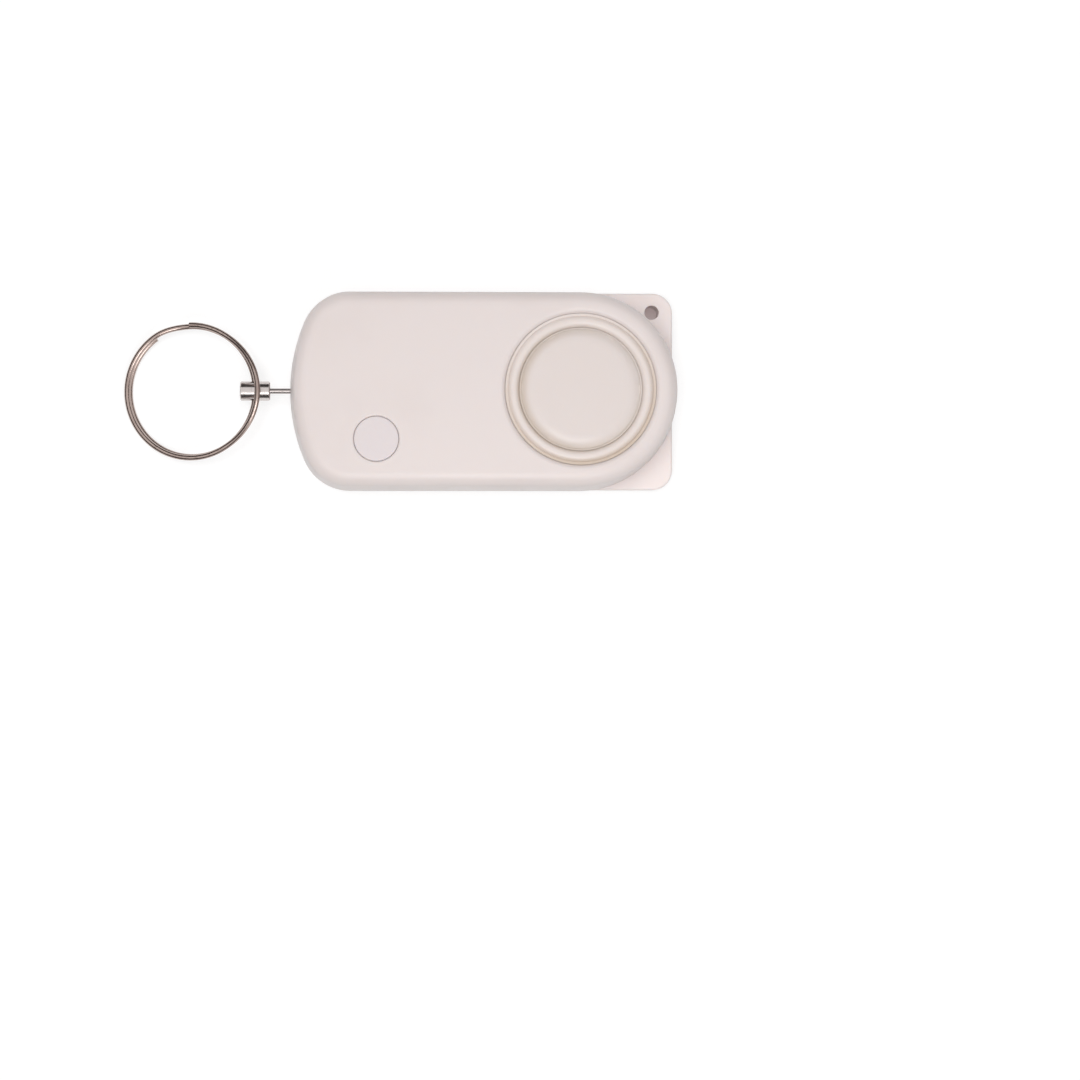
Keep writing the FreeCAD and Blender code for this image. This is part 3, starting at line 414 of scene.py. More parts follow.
FINE_MARKS = 0.001 * MM
NICKEL = (0.62, 0.575, 0.56)
NICKEL_DARK = (0.40, 0.34, 0.32)
turned_nickel = worked_metal("turned_nickel", NICKEL, NICKEL_DARK, 0.2, (9000, 300, 300), 0.002 * MM)
dress(turned_nickel, "ferrule")
PIN_NICKEL = (0.47, 0.43, 0.42)
drawn_nickel = worked_metal("drawn_nickel", PIN_NICKEL, NICKEL_DARK, 0.18, (500, 6000, 6000), FINE_MARKS)
dress(drawn_nickel, "pull_pin")

# %% [markdown]
# ## Metals inside
# Behind the case are more metals, each with the marks of how it was made. A strip is rolled, so its
# streaks run along it. A cell's can and the sounder's plate are pressed from sheet on a turning tool,
# which leaves fine rings round their axis. Distance from the axis is then the only thing that the pattern
# needs.

# %% Rolled, drawn and turned metals
SCREW_STEEL = (0.55, 0.54, 0.52)
SCREW_DARK = (0.33, 0.32, 0.30)
screw_steel = worked_metal("screw_steel", SCREW_STEEL, SCREW_DARK, 0.28, (900, 900, 4000), FINE_MARKS)
dress(screw_steel, "board_screws")
INNER_METALS = (
    ("contact_brass", (0.72, 0.60, 0.38), (0.50, 0.38, 0.20), 0.3, (300, 6000, 1500),
     ("battery_contact_positive", "battery_contact_negative", "contact_leaf_upper", "contact_leaf_lower")),
    ("switch_steel", (0.60, 0.60, 0.59), (0.42, 0.42, 0.41), 0.32, (400, 5000, 900),
     ("switch_cover",)),
    ("lead_tin", (0.63, 0.63, 0.62), (0.42, 0.42, 0.41), 0.35, (1500, 1500, 700),
     ("siren_leads", "lamp_leads")),
)
for name, colour, dark, roughness, stretch, nodes in INNER_METALS:
    dress(worked_metal(name, colour, dark, roughness, stretch, FINE_MARKS), *nodes)


def ringed_metal(name, colour, dark, roughness, centre, ring_size):
    """Metal with fine rings round an upright axis."""
    finish = Finish(name, colour, roughness, 1.0)
    rings = finish.noise(1.0, 3.0, finish.vector(finish.from_axis(centre) / ring_size, 0.0, 0.0))
    finish.tint(rings.eased(0.45, 0.8) * 0.4, dark)
    stained = finish.noise(4 * MM, 4.0)
    finish.tint(stained.eased(0.55, 0.8) * 0.35, dark)
    finish.set("Roughness", roughness + (rings - 0.5) * 0.2)
    finish.relief(rings, FINE_MARKS, 0.5)
    return finish


CELL_RING_SIZE = 0.15 * MM
SOUNDER_RING_SIZE = 0.2 * MM
CELL_STEEL = (0.62, 0.62, 0.60)
CELL_DARK = (0.40, 0.40, 0.39)
SOUNDER_BRASS = (0.78, 0.60, 0.27)
SOUNDER_DARK = (0.52, 0.36, 0.13)
battery_axis = middle("battery_hatch")
cell_steel = ringed_metal("cell_steel", CELL_STEEL, CELL_DARK, 0.24, battery_axis, CELL_RING_SIZE)
dress(cell_steel, "coin_cell_1", "coin_cell_2")
sounder_brass = ringed_metal(
    "sounder_brass", SOUNDER_BRASS, SOUNDER_DARK, 0.3, siren_centre, SOUNDER_RING_SIZE
)
dress(sounder_brass, "piezo_plate")

# %% [markdown]
# ## Plastics and rubber inside
# The inner mouldings use the same method as the case, in their own colours. The sounder's ceramic disc is
# fired and silvered, so it is pale, speckled and half metallic. Foam and rubber are dark and drink the
# light, and the foam's cells are large enough to see.

# %% Inner mouldings, ceramic, foam and rubber
INNER_MOULDINGS = (
    ("switch_plastic", (0.035, 0.035, 0.038), (0.06, 0.06, 0.062), 0.5, 0.004 * MM, "switch_housing"),
    ("plunger_plastic", (0.55, 0.10, 0.07), (0.45, 0.07, 0.05), 0.42, 0.003 * MM, "switch_plunger"),
    ("socket_nylon", (0.66, 0.65, 0.60), (0.58, 0.56, 0.50), 0.5, 0.004 * MM, "pin_socket"),
    ("tip_nylon", (0.60, 0.58, 0.52), (0.48, 0.46, 0.40), 0.45, 0.003 * MM, "pin_tip"),
)
for name, colour, shade, roughness, grain_height, node in INNER_MOULDINGS:
    dress(moulded(name, colour, shade, roughness, grain_height), node)


def speckled(name, colour, spot_colour, roughness, spot_size, spot_height, metallic=0.0):
    """An even ground with small spots that stand up or lie deep."""
    finish = Finish(name, colour, roughness, metallic)
    spots = finish.noise(spot_size, 1.0)
    finish.tint(spots.eased(0.5, 0.62), spot_colour)
    finish.set("Roughness", roughness + (spots - 0.5) * 0.3)
    finish.relief(spots, spot_height)
    return finish


# The last numbers of a row are roughness, spot size, spot height and, where it isn't 0, the metallic share.
SPECKLED_PIECES = (
    ("sounder_ceramic", "piezo_ceramic", (0.62, 0.61, 0.58), (0.50, 0.49, 0.47),
     (0.4, 0.25 * MM, 0.002 * MM, 0.6)),
    ("gasket_foam", "piezo_gasket", (0.045, 0.045, 0.048), (0.015, 0.015, 0.016),
     (0.9, 0.2 * MM, 0.06 * MM)),
    ("seal_rubber", "hatch_seal", (0.030, 0.030, 0.032), (0.048, 0.048, 0.050),
     (0.6, 0.1 * MM, 0.002 * MM)),
    ("coil_ferrite", "boost_coil_core", (0.055, 0.053, 0.050), (0.090, 0.087, 0.082),
     (0.55, 0.12 * MM, 0.003 * MM)),
)
for name, node, colour, spot_colour, numbers in SPECKLED_PIECES:
    dress(speckled(name, colour, spot_colour, *numbers), node)

# %% [markdown]
# ## The circuit board
# A board is glass laminate under green lacquer. Copper tracks under the lacquer show as paler, slightly
# raised lines, and they mostly run along or across the board. Two sets of evenly spaced lines are drawn
# from the fraction of x and of y, and a slow noise chooses which set shows. The sawn edges show the bare
# tan laminate.

# %% Board lacquer and tracks
TRACK_PITCH = 1.27 * MM
TRACK_SHARE = 0.13
TRACK_BLUR = 0.04
LACQUER = (0.018, 0.145, 0.055)
LACQUER_ROUGHNESS = 0.28
TRACK_GREEN = (0.045, 0.235, 0.095)
LAMINATE = (0.50, 0.43, 0.24)

board_laminate = Finish("board_laminate", LACQUER, LACQUER_ROUGHNESS, IOR=PLASTIC_IOR)
x, y, _ = board_laminate.parts(board_laminate.place)
track_edges = (TRACK_SHARE + TRACK_BLUR, TRACK_SHARE)
across = abs((x / TRACK_PITCH).fraction() - 0.5).eased(*track_edges)
along = abs((y / TRACK_PITCH).fraction() - 0.5).eased(*track_edges)
chooser = board_laminate.noise(5 * MM, 0.0).eased(0.48, 0.52)
present = board_laminate.noise(3 * MM, 0.0).eased(0.42, 0.46)
tracks = (across * chooser + along * (1 - chooser)) * present
board_laminate.tint(tracks, TRACK_GREEN)
sawn = abs(board_laminate.facing_up()).eased(0.7, 0.3)
board_laminate.tint(sawn, LAMINATE)
board_laminate.set("Roughness", LACQUER_ROUGHNESS + sawn * 0.5)
board_laminate.relief(tracks + board_laminate.noise(0.4 * MM) * 0.2, 0.03 * MM)
dress(board_laminate, "circuit_board")

# %% [markdown]
# ## Parts on the board
# A chip and a transistor are one solid each, with a black body and tinned legs, and the small chip parts
# have tinned ends. Where the metal starts is a known distance from the middle of each part, or from the leg
# side of the transistor, so a smooth step on that distance switches the colour and the metallic share
# together. The can has a dark sleeve and a bare end, and the coil's enamelled copper lies in even turns,
# which a sine draws.

# %% Bodies with tinned ends
TIN = (0.62, 0.62, 0.61)
TIN_EDGE = 0.03 * MM
EPOXY = (0.028, 0.028, 0.030)
EPOXY_SPOT = (0.045, 0.045, 0.047)
CHIP_BODY_SHARE = 0.67
CERAMIC_BODY_SHARE = 0.7
TRANSISTOR_LEG_LENGTH = 1.0 * MM


def tin_beyond(finish, distance, edge):
    """Turns the finish to bare tin where the distance is past the edge."""
    share = distance.eased(edge, edge + TIN_EDGE)
    finish.tint(share, TIN)
    finish.set("Metallic", share)


def tin_both_sides(finish, node, body_share):
    """A part whose body takes up this share of its width, with bare tin on both sides of it."""
    low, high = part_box(node)
    y = finish.parts(finish.place)[1]
    edge = (high.y - low.y) / 2 * body_share
    tin_beyond(finish, abs(y - (low.y + high.y) / 2), edge)
    dress(finish, node)


chip_epoxy = speckled("chip_epoxy", EPOXY, EPOXY_SPOT, 0.55, 0.1 * MM, 0.003 * MM)
tin_both_sides(chip_epoxy, "controller_chip", CHIP_BODY_SHARE)
for name, node, colour, spot_colour in (
    ("resistor_ceramic", "chip_resistors", (0.040, 0.040, 0.043), (0.060, 0.060, 0.062)),
    ("capacitor_ceramic", "chip_capacitors", (0.42, 0.31, 0.19), (0.36, 0.26, 0.15)),
):
    ceramic = speckled(name, colour, spot_colour, 0.45, 0.15 * MM, 0.002 * MM)
    tin_both_sides(ceramic, node, CERAMIC_BODY_SHARE)

transistor_epoxy = speckled("transistor_epoxy", EPOXY, EPOXY_SPOT, 0.5, 0.1 * MM, 0.003 * MM)
y = transistor_epoxy.parts(transistor_epoxy.place)[1]
tin_beyond(transistor_epoxy, y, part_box("driver_transistor")[1].y - TRANSISTOR_LEG_LENGTH)
dress(transistor_epoxy, "driver_transistor")

# %% Can and coil
SLEEVE = (0.030, 0.035, 0.060)
SLEEVE_END = 0.6 * MM
SLEEVE_EDGE = 0.05 * MM
ALUMINIUM = (0.70, 0.70, 0.71)
COPPER = (0.52, 0.20, 0.085)
COPPER_GAP_SHADE = (0.12, 0.035, 0.015)
COPPER_PITCH = 0.3 * MM
can_aluminium = Finish("can_aluminium", SLEEVE, 0.4)
x = can_aluminium.parts(can_aluminium.place)[0]
sleeve_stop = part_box("storage_capacitor")[1].x - SLEEVE_END
bare = x.eased(sleeve_stop, sleeve_stop + SLEEVE_EDGE)
can_aluminium.tint(bare, ALUMINIUM)
can_aluminium.set("Metallic", bare)
wrinkles = can_aluminium.noise(1.5 * MM, 3.0)
can_aluminium.set("Roughness", 0.36 + (wrinkles - 0.5) * 0.2)
can_aluminium.relief(wrinkles, 0.02 * MM)
dress(can_aluminium, "storage_capacitor")

coil_copper = Finish("coil_copper", COPPER, 0.25, 0.85)
z = coil_copper.parts(coil_copper.place)[2]
turns = (z * (2 * math.pi / COPPER_PITCH)).sine() * 0.5 + 0.5
# painted shade in the troughs between the turns of wire
coil_copper.tint(turns.eased(0.35, 0.0) * 0.8, COPPER_GAP_SHADE)
coil_copper.set("Roughness", 0.25 + coil_copper.noise(0.5 * MM) * 0.15)
coil_copper.relief(turns, 0.08 * MM)
dress(coil_copper, "boost_coil_winding")

# %% [markdown]
# ## The lamp
# The lamp is a clear red epoxy bullet that looks out of the case's corner. Most light goes through it,
# and round the axis its reflector cup shows as a brighter core. Small flow lines from casting bend the
# light a little.

# %% Lamp epoxy
LAMP_RED = (0.62, 0.012, 0.010)
LAMP_CORE = (0.90, 0.10, 0.06)
CORE_RADII = (0.9 * MM, 0.2 * MM)
EPOXY_IOR = 1.54
LAMP_ROUGHNESS = 0.08
lamp_axis = middle("lamp")
lamp_epoxy = Finish("lamp_epoxy", LAMP_RED, LAMP_ROUGHNESS, IOR=EPOXY_IOR, Transmission_Weight=0.7)
_, y, z = lamp_epoxy.parts(lamp_epoxy.place)
from_core = ((y - lamp_axis.y) ** 2.0 + (z - lamp_axis.z) ** 2.0) ** 0.5
lamp_epoxy.tint(from_core.eased(*CORE_RADII) * 0.7, LAMP_CORE)
flow = lamp_epoxy.noise(1.2 * MM, 2.0)
lamp_epoxy.set("Roughness", LAMP_ROUGHNESS + flow * 0.06)
lamp_epoxy.relief(flow, 0.01 * MM, 0.5)
dress(lamp_epoxy, "lamp")

# %% [markdown]
# ## The split ring
# The ring is one spring wire wound twice. One turn goes through the ferrule and lies under the other,
# which is a little wider, and rises and bows out to pass over the ferrule. That is a rule for Geometry
# Nodes: start with a straight line of points, work out the angle of each point from its place along the
# line, and put it on the winding. A circle swept along the curve then gives the wire. The sizes are named
# inputs, so that the same tree can wind any such ring.

# %% The ring's measures
WIRE_RADIUS = 0.5 * MM
TURN_GAP = 0.12 * MM
TURN_SPREAD = 0.2 * MM
LIFT_OVER_FERRULE = 2.8 * MM
BOW_OVER_FERRULE = 1.0 * MM
LIFT_HALF_ANGLE = math.radians(60)
CROSSOVER_ANGLE = math.radians(108)
CROSSOVER_HALF_ANGLE = math.radians(14)
END_GAP_ANGLE = math.radians(3)
WINDING_POINTS = 720
WIRE_SIDES = 24
split_low, split_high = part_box("split_ring")
turn_radius = (split_high.y - split_low.y) / 2 - WIRE_RADIUS - TURN_SPREAD
ring_droop = math.asin((seam_level - WIRE_RADIUS) / (2 * turn_radius))
print("ring turns", round(turn_radius / MM, 2), "mm in radius, droop", round(math.degrees(ring_droop), 1))


# %% [markdown]
# A Geometry Nodes tree takes its sizes through its interface. One helper makes the interface from a table
# of names, kinds and values. Another runs the tree on a mesh of points, which may be empty, and returns
# the result as a plain mesh object.


# %% Run a tree and keep its mesh
def new_tree(name, inputs):
    """A geometry tree with named inputs. Returns the graph and its inputs as values."""
    tree = bpy.data.node_groups.new(name, "GeometryNodeTree")
    tree.interface.new_socket("Geometry", in_out="OUTPUT", socket_type="NodeSocketGeometry")
    tree.interface.new_socket("Geometry", in_out="INPUT", socket_type="NodeSocketGeometry")
    for label, (kind, value) in inputs.items():
        tree.interface.new_socket(label, in_out="INPUT", socket_type="NodeSocket" + kind)
    graph = Graph(tree)
    group_input = tree.nodes.new("NodeGroupInput")
    values = {label: Value(graph, group_input.outputs[label]) for label in ("Geometry", *inputs)}
    return graph, values


def close_tree(graph, geometry, material):
    """Realizes instances, sets the material and joins the output."""
    real = graph.node("GeometryNodeRealizeInstances", {}, {0: geometry})
    final = graph.node("GeometryNodeSetMaterial", {}, {"Geometry": real, "Material": material})
    graph.join(final, graph.tree.nodes.new("NodeGroupOutput").inputs[0])


def grown(name, graph, inputs, points=()):
    """A plain mesh object with what the tree makes of these inputs, from a mesh of these points."""
    carrier_mesh = bpy.data.meshes.new(name + "_points")
    carrier_mesh.from_pydata([tuple(point) for point in points], [], [])
    carrier = bpy.data.objects.new(name + "_points", carrier_mesh)
    bpy.context.scene.collection.objects.link(carrier)
    modifier = carrier.modifiers.new("tree", "NODES")
    modifier.node_group = graph.tree
    for item in graph.tree.interface.items_tree:
        if item.in_out == "INPUT" and item.name in inputs:
            modifier[item.identifier] = inputs[item.name][1]
    depsgraph = bpy.context.evaluated_depsgraph_get()
    mesh = bpy.data.meshes.new_from_object(carrier.evaluated_get(depsgraph))
    bpy.data.objects.remove(carrier)
    piece = bpy.data.objects.new(name, mesh)
    bpy.context.scene.collection.objects.link(piece)
    print(name, "has", len(mesh.polygons), "faces")
    return piece


# %% [markdown]
# The ring's own finish has streaks that follow the wire. The tree writes how far along the wire each
# point is into an attribute, and the finish reads it. The nickel has a pinkish cast and is worn darker in
# patches.

# %% Finish of the ring
RING_NICKEL = (0.46, 0.37, 0.335)
RING_DARK = (0.24, 0.175, 0.15)
RING_ROUGHNESS = 0.2
ring_nickel = Finish("ring_nickel", RING_NICKEL, RING_ROUGHNESS, 1.0)
along = ring_nickel.node("ShaderNodeAttribute", {"attribute_name": "along"}, {}, "Fac")
x, _, z = ring_nickel.parts(ring_nickel.place)
streaks = ring_nickel.noise(1.0, 3.0, ring_nickel.vector(along * 260, z * 7000, x * 300))
worn = ring_nickel.noise(5 * MM, 3.0)
ring_nickel.tint(streaks.eased(0.45, 0.75) * 0.45 + worn.eased(0.5, 0.8) * 0.3, RING_DARK)
ring_nickel.set("Roughness", RING_ROUGHNESS + (streaks - 0.5) * 0.2)
ring_nickel.relief(streaks, 0.0015 * MM, 0.5)

# %% Wind the ring
winding = {
    "Turn Radius": ("Float", turn_radius),
    "Wire Radius": ("Float", WIRE_RADIUS),
    "Turn Rise": ("Float", 2 * WIRE_RADIUS + TURN_GAP),
    "Turn Spread": ("Float", TURN_SPREAD),
    "Lift": ("Float", LIFT_OVER_FERRULE),
    "Bow": ("Float", BOW_OVER_FERRULE),
    "Lift Half Angle": ("Float", LIFT_HALF_ANGLE),
    "Crossover": ("Float", CROSSOVER_ANGLE),
    "Crossover Half Angle": ("Float", CROSSOVER_HALF_ANGLE),
    "End Gap": ("Float", END_GAP_ANGLE),
    "Points": ("Int", WINDING_POINTS),
    "Sides": ("Int", WIRE_SIDES),
    "Droop": ("Float", ring_droop),
    "Pivot": ("Vector", pivot),
    "Material": ("Material", ring_nickel.material),
}
tree, given = new_tree("wound_wire", winding)
line = tree.node("GeometryNodeCurvePrimitiveLine", {}, {"Start": (0, 0, 0), "End": (1, 0, 0)})
line = tree.node("GeometryNodeResampleCurve", {}, {"Curve": line, "Count": given["Points"]})
share = tree.node("GeometryNodeSplineParameter", {}, {}, "Factor")
start = given["Crossover"] + given["Crossover Half Angle"] + given["End Gap"]
end = given["Crossover"] - given["Crossover Half Angle"] - given["End Gap"] + 4 * math.pi
angle = start + (end - start) * share
crossing = angle - given["Crossover"] - 2 * math.pi
second = crossing.eased(-1 * given["Crossover Half Angle"], given["Crossover Half Angle"])
over = second * abs(angle - 4 * math.pi).eased(given["Lift Half Angle"], 0.0)
rise = given["Turn Rise"] * second + (given["Lift"] - given["Turn Rise"]) * over
radius = given["Turn Radius"] + given["Turn Spread"] * second + given["Bow"] * over
place = tree.vector(radius * angle.cosine() - given["Turn Radius"], radius * angle.sine(), rise)
curve = tree.node("GeometryNodeSetPosition", {}, {"Geometry": line, "Position": place})
settings = {"data_type": "FLOAT", "domain": "POINT"}
sockets = {"Geometry": curve, "Name": "along", "Value": angle * given["Turn Radius"]}
curve = tree.node("GeometryNodeStoreNamedAttribute", settings, sockets)
sockets = {"Resolution": given["Sides"], "Radius": given["Wire Radius"]}
section = tree.node("GeometryNodeCurvePrimitiveCircle", {}, sockets)
sockets = {"Curve": curve, "Profile Curve": section, "Fill Caps": True}
wire = tree.node("GeometryNodeCurveToMesh", {}, sockets)
tilt = tree.vector(0.0, -1 * given["Droop"], 0.0)
sockets = {"Geometry": wire, "Rotation": tilt, "Translation": given["Pivot"]}
wire = tree.node("GeometryNodeTransform", {}, sockets)
wire = tree.node("GeometryNodeSetShadeSmooth", {}, {"Geometry": wire, "Shade Smooth": True})
close_tree(tree, wire, given["Material"])
key_ring = grown("key_ring", tree, winding)
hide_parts("split_ring")
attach(key_ring, "key_ring")

# %% [markdown]
# ## Case screws
# Four screws hold the halves together from the back. They are the same screw at four seats, each turned
# as the screwdriver left it. The tree makes one screw: a cylinder for the head and one for the shank,
# whose points are then moved by rules. The head's outer face is crowned and sinks in where the cross
# recess is. The shank's radius follows a sine along z that also turns with the angle, which is a thread.
# Instances put it on every seat.

# %% Measure the seats
def islands(node, reach):
    """The middle of each separate solid of a node, in plan."""
    found = []
    for vertex in frame["nodes"][node].data.vertices:
        place = Vector((vertex.co.x, vertex.co.y, 0.0))
        for island in found:
            if (island[0] - place).length < reach:
                island.append(place)
                break
        else:
            found.append([place])
    middles = []
    for island in found:
        xs = [place.x for place in island]
        ys = [place.y for place in island]
        middles.append(((min(xs) + max(xs)) / 2, (min(ys) + max(ys)) / 2))
    return middles


SCREW_HEAD_HEIGHT = 1.3 * MM
SCREW_REACH = 5 * MM
POINT_TAPER = 0.7
screws_low, screws_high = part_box("case_screws")
seats = [(x, y, screws_low.z + SCREW_HEAD_HEIGHT) for x, y in islands("case_screws", SCREW_REACH)]
print("screw seats:", [tuple(round(value / MM, 2) for value in seat) for seat in seats])

# %% Make the screws
head_radius = (screws_high.x - screws_low.x - (max(seats)[0] - min(seats)[0])) / 2
screw_sizes = {
    "Head Radius": ("Float", head_radius),
    "Head Height": ("Float", SCREW_HEAD_HEIGHT),
    "Crown": ("Float", 0.4 * MM),
    "Recess Length": ("Float", 2.2 * MM),
    "Recess Width": ("Float", 0.55 * MM),
    "Recess Depth": ("Float", 0.75 * MM),
    "Recess Slope": ("Float", 0.12 * MM),
    "Shank Radius": ("Float", 1.0 * MM),
    "Shank Length": ("Float", screws_high.z - seats[0][2]),
    "Point Length": ("Float", 1.5 * MM),
    "Thread Pitch": ("Float", 0.9 * MM),
    "Thread Depth": ("Float", 0.25 * MM),
    "Seed": ("Int", 11),
    "Material": ("Material", screw_steel.material),
}
tree, given = new_tree("pan_head_screws", screw_sizes)

sizes = {"Radius": given["Head Radius"], "Depth": given["Head Height"]}
sizes.update({"Vertices": 64, "Side Segments": 4, "Fill Segments": 20})
head = tree.node("GeometryNodeMeshCylinder", {}, sizes)
x, y, z = tree.parts(tree.node("GeometryNodeInputPosition", {}, {}))
outer = (0 - z).eased(0.0, given["Head Height"] / 2)
from_middle = (x * x + y * y) ** 0.5


def bar(long_way, short_way):
    """1 inside one arm of the cross."""
    half_length = given["Recess Length"] / 2
    half_width = given["Recess Width"] / 2
    slope = given["Recess Slope"]
    inside_length = abs(long_way).eased(half_length + slope, half_length)
    return inside_length * abs(short_way).eased(half_width + slope, half_width)


cross = bar(x, y).at_least(bar(y, x))
sunk = outer * (given["Crown"] * (from_middle / given["Head Radius"]) ** 3.0 + given["Recess Depth"] * cross)
head = tree.node("GeometryNodeSetPosition", {}, {"Geometry": head, "Offset": tree.vector(0.0, 0.0, sunk)})
drop = tree.vector(0.0, 0.0, given["Head Height"] * -0.5)
head = tree.node("GeometryNodeTransform", {}, {"Geometry": head, "Translation": drop})

sizes = {"Radius": given["Shank Radius"], "Depth": given["Shank Length"]}
sizes.update({"Vertices": 24, "Side Segments": 150})
shank = tree.node("GeometryNodeMeshCylinder", {}, sizes)
x, y, z = tree.parts(tree.node("GeometryNodeInputPosition", {}, {}))
angle = tree.node("ShaderNodeMath", {"operation": "ARCTAN2"}, {0: y, 1: x})
wave = (z * (2 * math.pi) / given["Thread Pitch"] + angle).sine() * 0.5 + 0.5
tip = given["Shank Length"] / 2
pointed = z.eased(tip - given["Point Length"], tip)
share = (1 - wave * given["Thread Depth"] / given["Shank Radius"]) * (1 - pointed * POINT_TAPER)
place = tree.vector(x * share, y * share, z)
shank = tree.node("GeometryNodeSetPosition", {}, {"Geometry": shank, "Position": place})
lift = tree.vector(0.0, 0.0, given["Shank Length"] / 2)
shank = tree.node("GeometryNodeTransform", {}, {"Geometry": shank, "Translation": lift})

screw = tree.node("GeometryNodeJoinGeometry", {}, {0: head})
tree.join(shank, screw.socket.node.inputs[0])
sockets = {2: 0.0, 3: 2 * math.pi, "Seed": given["Seed"]}
turn = tree.node("FunctionNodeRandomValue", {"data_type": "FLOAT"}, sockets, 1)
placed = {"Points": given["Geometry"], "Instance": screw, "Rotation": tree.vector(0.0, 0.0, turn)}
many = tree.node("GeometryNodeInstanceOnPoints", {}, placed)
many = tree.node("GeometryNodeRealizeInstances", {}, {0: many})
many = tree.node("GeometryNodeSetShadeSmooth", {}, {"Geometry": many, "Shade Smooth": True})
close_tree(tree, many, given["Material"])
pan_head_screws = grown("pan_head_screws", tree, screw_sizes, seats)
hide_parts("case_screws")
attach(pan_head_screws, "case")

# %% [markdown]
# ## Floor, light and camera
# The object lies on a plain floor, photographed from almost straight above. The floor must look white and
# still keep the object's soft shadow. So to the camera, mirrors and glass it sends out a part of its
# white itself, and the rest comes from the light that falls on it. Under the lanyard hole it sends out
# much less, and in the warm tone of the plastic round it: painted shade and painted bounce light, so
# that the hole looks as deep and dark as it is. The record of the model says where that hole is.

# %% Floor
FLOOR_SIZE = 6.0
FLOOR_LEVEL = -0.02 * MM
FLOOR_WHITE = (0.78, 0.78, 0.78, 1.0)
FLOOR_WHITE_SEEN = (0.40, 0.40, 0.40, 1.0)
FLOOR_OWN_LIGHT = 0.66
WHITE = (1.0, 1.0, 1.0, 1.0)
HOLE_SHARE = 0.29
HOLE_SHADE_TINT = (1.0, 0.70, 0.68, 1.0)
HOLE_EDGE = (1.6 * MM, 2.2 * MM)


def pale_rays(graph):
    """1 for rays from the camera, mirrors and glass, else 0."""
    path = graph.node("ShaderNodeLightPath", {}, {}).socket.node
    kinds = ("Is Camera Ray", "Is Glossy Ray", "Is Transmission Ray")
    camera, mirror, glass = [Value(graph, path.outputs[kind]) for kind in kinds]
    return (camera + mirror + glass).at_most(1.0)


floor_mesh = bpy.data.meshes.new("floor")
half = FLOOR_SIZE / 2
corners = ((-half, -half), (half, -half), (half, half), (-half, half))
floor_corners = [(x, y, FLOOR_LEVEL) for x, y in corners]
floor_mesh.from_pydata(floor_corners, [], [(0, 1, 2, 3)])
floor = bpy.data.objects.new("floor", floor_mesh)
bpy.context.scene.collection.objects.link(floor)
floor_finish = Finish("floor_paper", FLOOR_WHITE[:3], 0.9)
seen = pale_rays(floor_finish)
floor_finish.set("Base Color", floor_finish.blend(seen, FLOOR_WHITE, FLOOR_WHITE_SEEN))
hole = next(mount for mount in frame["record"]["mounts"] if mount["name"] == "lanyard_hole")
open_floor = floor_finish.from_axis(Vector(hole["pos_m"])).eased(*HOLE_EDGE)
# painted shade under the lanyard hole, in a painted warm tone of light bounced off its walls
own_light = FLOOR_OWN_LIGHT * (HOLE_SHARE + (1 - HOLE_SHARE) * open_floor)
floor_finish.set("Emission Color", floor_finish.blend(open_floor, HOLE_SHADE_TINT, WHITE))
floor_finish.set("Emission Strength", seen * own_light)
floor_mesh.materials.append(floor_finish.material)
floor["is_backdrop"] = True

# %% [markdown]
# The light is a pale room, one soft main lamp that leans a little to the upper left, and a nearer panel
# on the lower side that makes that side of the case a little brighter. The main lamp stands for a wide
# pale ceiling, so mirror rays see the room in its place and not one hot spot.

# %% Light
ROOM_LIGHT = 0.32
ROOM_COLOUR = (1.0, 0.985, 0.98, 1.0)
MAIN_LAMP_STRENGTH = 1.63
MAIN_LAMP_SIDE = (-0.10, 0.10, 1.0)
MAIN_LAMP_WIDTH = math.radians(35)
PANEL_POWER = 0.095
PANEL_PLACE = (0.0, -0.10, 0.19)
PANEL_SIZE = 0.10
world = bpy.data.worlds.new("pale_room")
bpy.context.scene.world = world
world.use_nodes = True
room = Graph(world.node_tree)
background = world.node_tree.nodes["Background"]
background.inputs["Color"].default_value = ROOM_COLOUR
room.join(ROOM_LIGHT + (1 - ROOM_LIGHT) * pale_rays(room), background.inputs["Strength"])


def lamp_object(name, kind, energy, place, side):
    """A lamp at a place, which shines from this side of the object. Mirror rays don't see a sun."""
    lamp = bpy.data.lights.new(name, kind)
    lamp.energy = energy
    piece = bpy.data.objects.new(name, lamp)
    piece.rotation_euler = Vector(side).to_track_quat("Z", "Y").to_euler()
    piece.location = place
    bpy.context.scene.collection.objects.link(piece)
    piece.visible_glossy = kind != "SUN"
    return lamp


main_lamp = lamp_object("main_lamp", "SUN", MAIN_LAMP_STRENGTH, (0, 0, 1), MAIN_LAMP_SIDE)
main_lamp.angle = MAIN_LAMP_WIDTH
panel = lamp_object("panel", "AREA", PANEL_POWER, PANEL_PLACE, PANEL_PLACE)
panel.shape = "DISK"
panel.size = PANEL_SIZE

# %% [markdown]
# Bright metal shows whatever stands round it, and in an all-white room it would look like chalk.
# Photographers stand black cards round it, out of sight. Here a dark collar does that: only mirror rays
# see it. It is open towards the lower right, so the wire of the ring catches a bright streak on that side
# and opposite it.

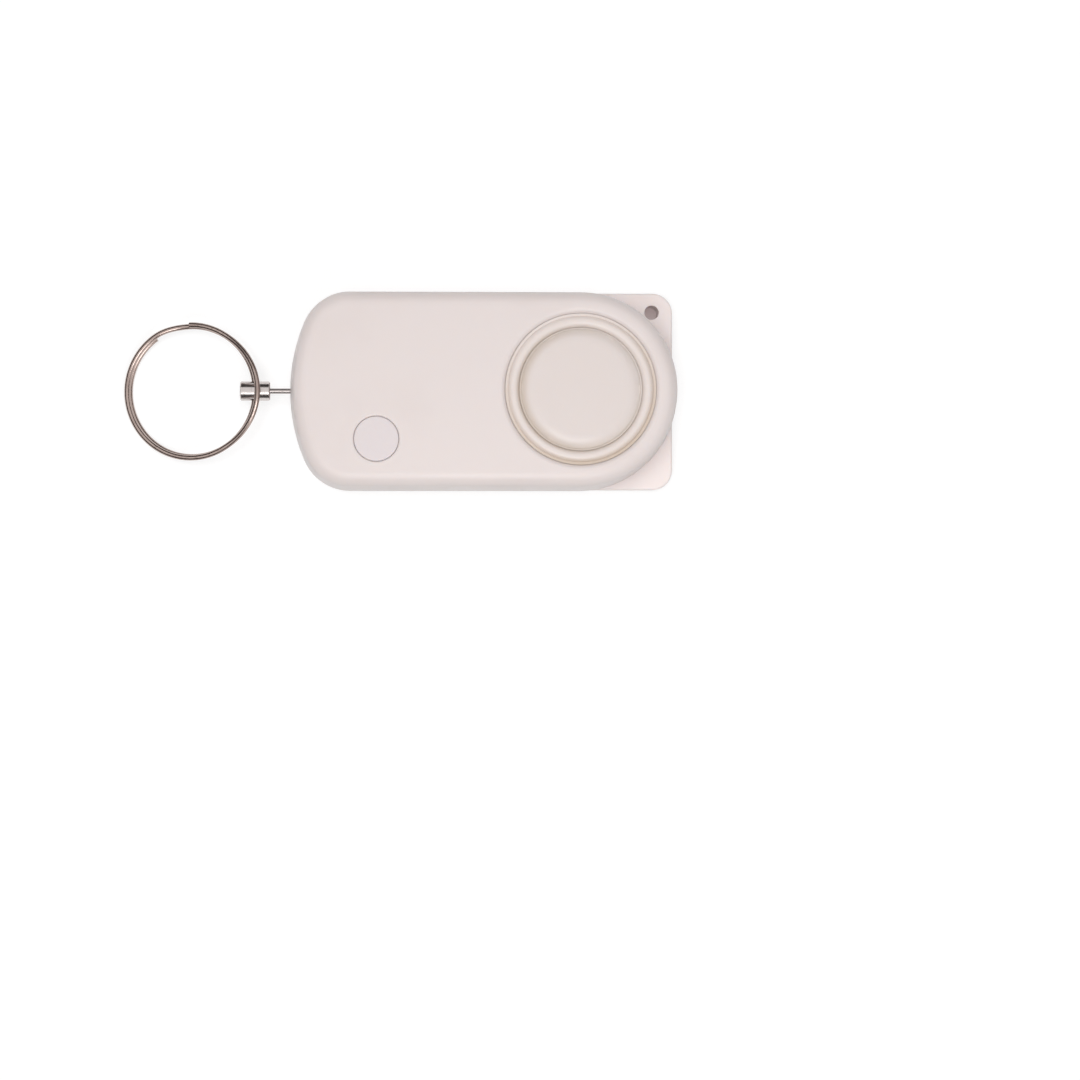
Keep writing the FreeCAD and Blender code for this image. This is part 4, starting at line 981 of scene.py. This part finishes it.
# %% Dark collar
COLLAR_RADIUS = 0.5
COLLAR_HEIGHT = 0.5
COLLAR_OPENING = math.radians(-45)
COLLAR_OPENING_HALF = math.radians(32)
COLLAR_STEPS = 48
CARD_GREY = (0.11, 0.10, 0.10)
collar_points = []
for step in range(COLLAR_STEPS + 1):
    turned = step / COLLAR_STEPS * 2 * (math.pi - COLLAR_OPENING_HALF)
    angle = COLLAR_OPENING + COLLAR_OPENING_HALF + turned
    for height in (0.0, COLLAR_HEIGHT):
        collar_points.append((COLLAR_RADIUS * math.cos(angle), COLLAR_RADIUS * math.sin(angle), height))
collar_faces = [(2 * step, 2 * step + 2, 2 * step + 3, 2 * step + 1) for step in range(COLLAR_STEPS)]
collar_mesh = bpy.data.meshes.new("dark_collar")
collar_mesh.from_pydata(collar_points, [], collar_faces)
collar = bpy.data.objects.new("dark_collar", collar_mesh)
bpy.context.scene.collection.objects.link(collar)
card = Finish("dark_card", CARD_GREY, 0.9)
card.set("Roughness", 0.85 + card.noise(20 * MM) * 0.1)
collar_mesh.materials.append(card.material)
collar.visible_camera = False
collar.visible_diffuse = False
collar.visible_transmission = False
collar.visible_shadow = False
collar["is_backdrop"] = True

# %% [markdown]
# The camera stands a long way up and a little to the lower left of the object's middle, so the near walls
# of the case just show. It looks at the point that was in the middle of the picture.

# %% Camera
PICTURE_SCALE = 0.181 * MM
PICTURE_SIZE = 1080
CAMERA_DISTANCE = 611 * MM
CAMERA_FOOT = (-14 * MM, -28 * MM)
CASE_MIDDLE_IN_PICTURE = (484.1, 391.6)
target = Vector((
    (PICTURE_SIZE / 2 - CASE_MIDDLE_IN_PICTURE[0]) * PICTURE_SCALE,
    (CASE_MIDDLE_IN_PICTURE[1] - PICTURE_SIZE / 2) * PICTURE_SCALE,
    seam_level,
))
stand = Vector((*CAMERA_FOOT, seam_level + CAMERA_DISTANCE))
lens = bpy.data.cameras.new("camera")
camera = bpy.data.objects.new("camera", lens)
bpy.context.scene.collection.objects.link(camera)
backwards = (stand - target).normalized()
rightwards = Vector((0, 1, 0)).cross(backwards).normalized()
upwards = backwards.cross(rightwards)
facing = Matrix((rightwards, upwards, backwards)).transposed().to_4x4()
camera.matrix_world = Matrix.Translation(stand) @ facing
lens.lens = lens.sensor_width * (stand - target).length / (PICTURE_SIZE * PICTURE_SCALE)
lens.clip_start = 10 * MM
lens.clip_end = 20.0
bpy.context.scene.camera = camera
bpy.context.scene.view_settings.view_transform = "Standard"
print("lens", round(lens.lens, 1), "mm")

# %% Sizes and finish
visual_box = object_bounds()
growth = (visual_box[1] - visual_box[0]) - (cad_box[1] - cad_box[0])
print("grown by", [round(length / MM, 3) for length in growth], "mm")
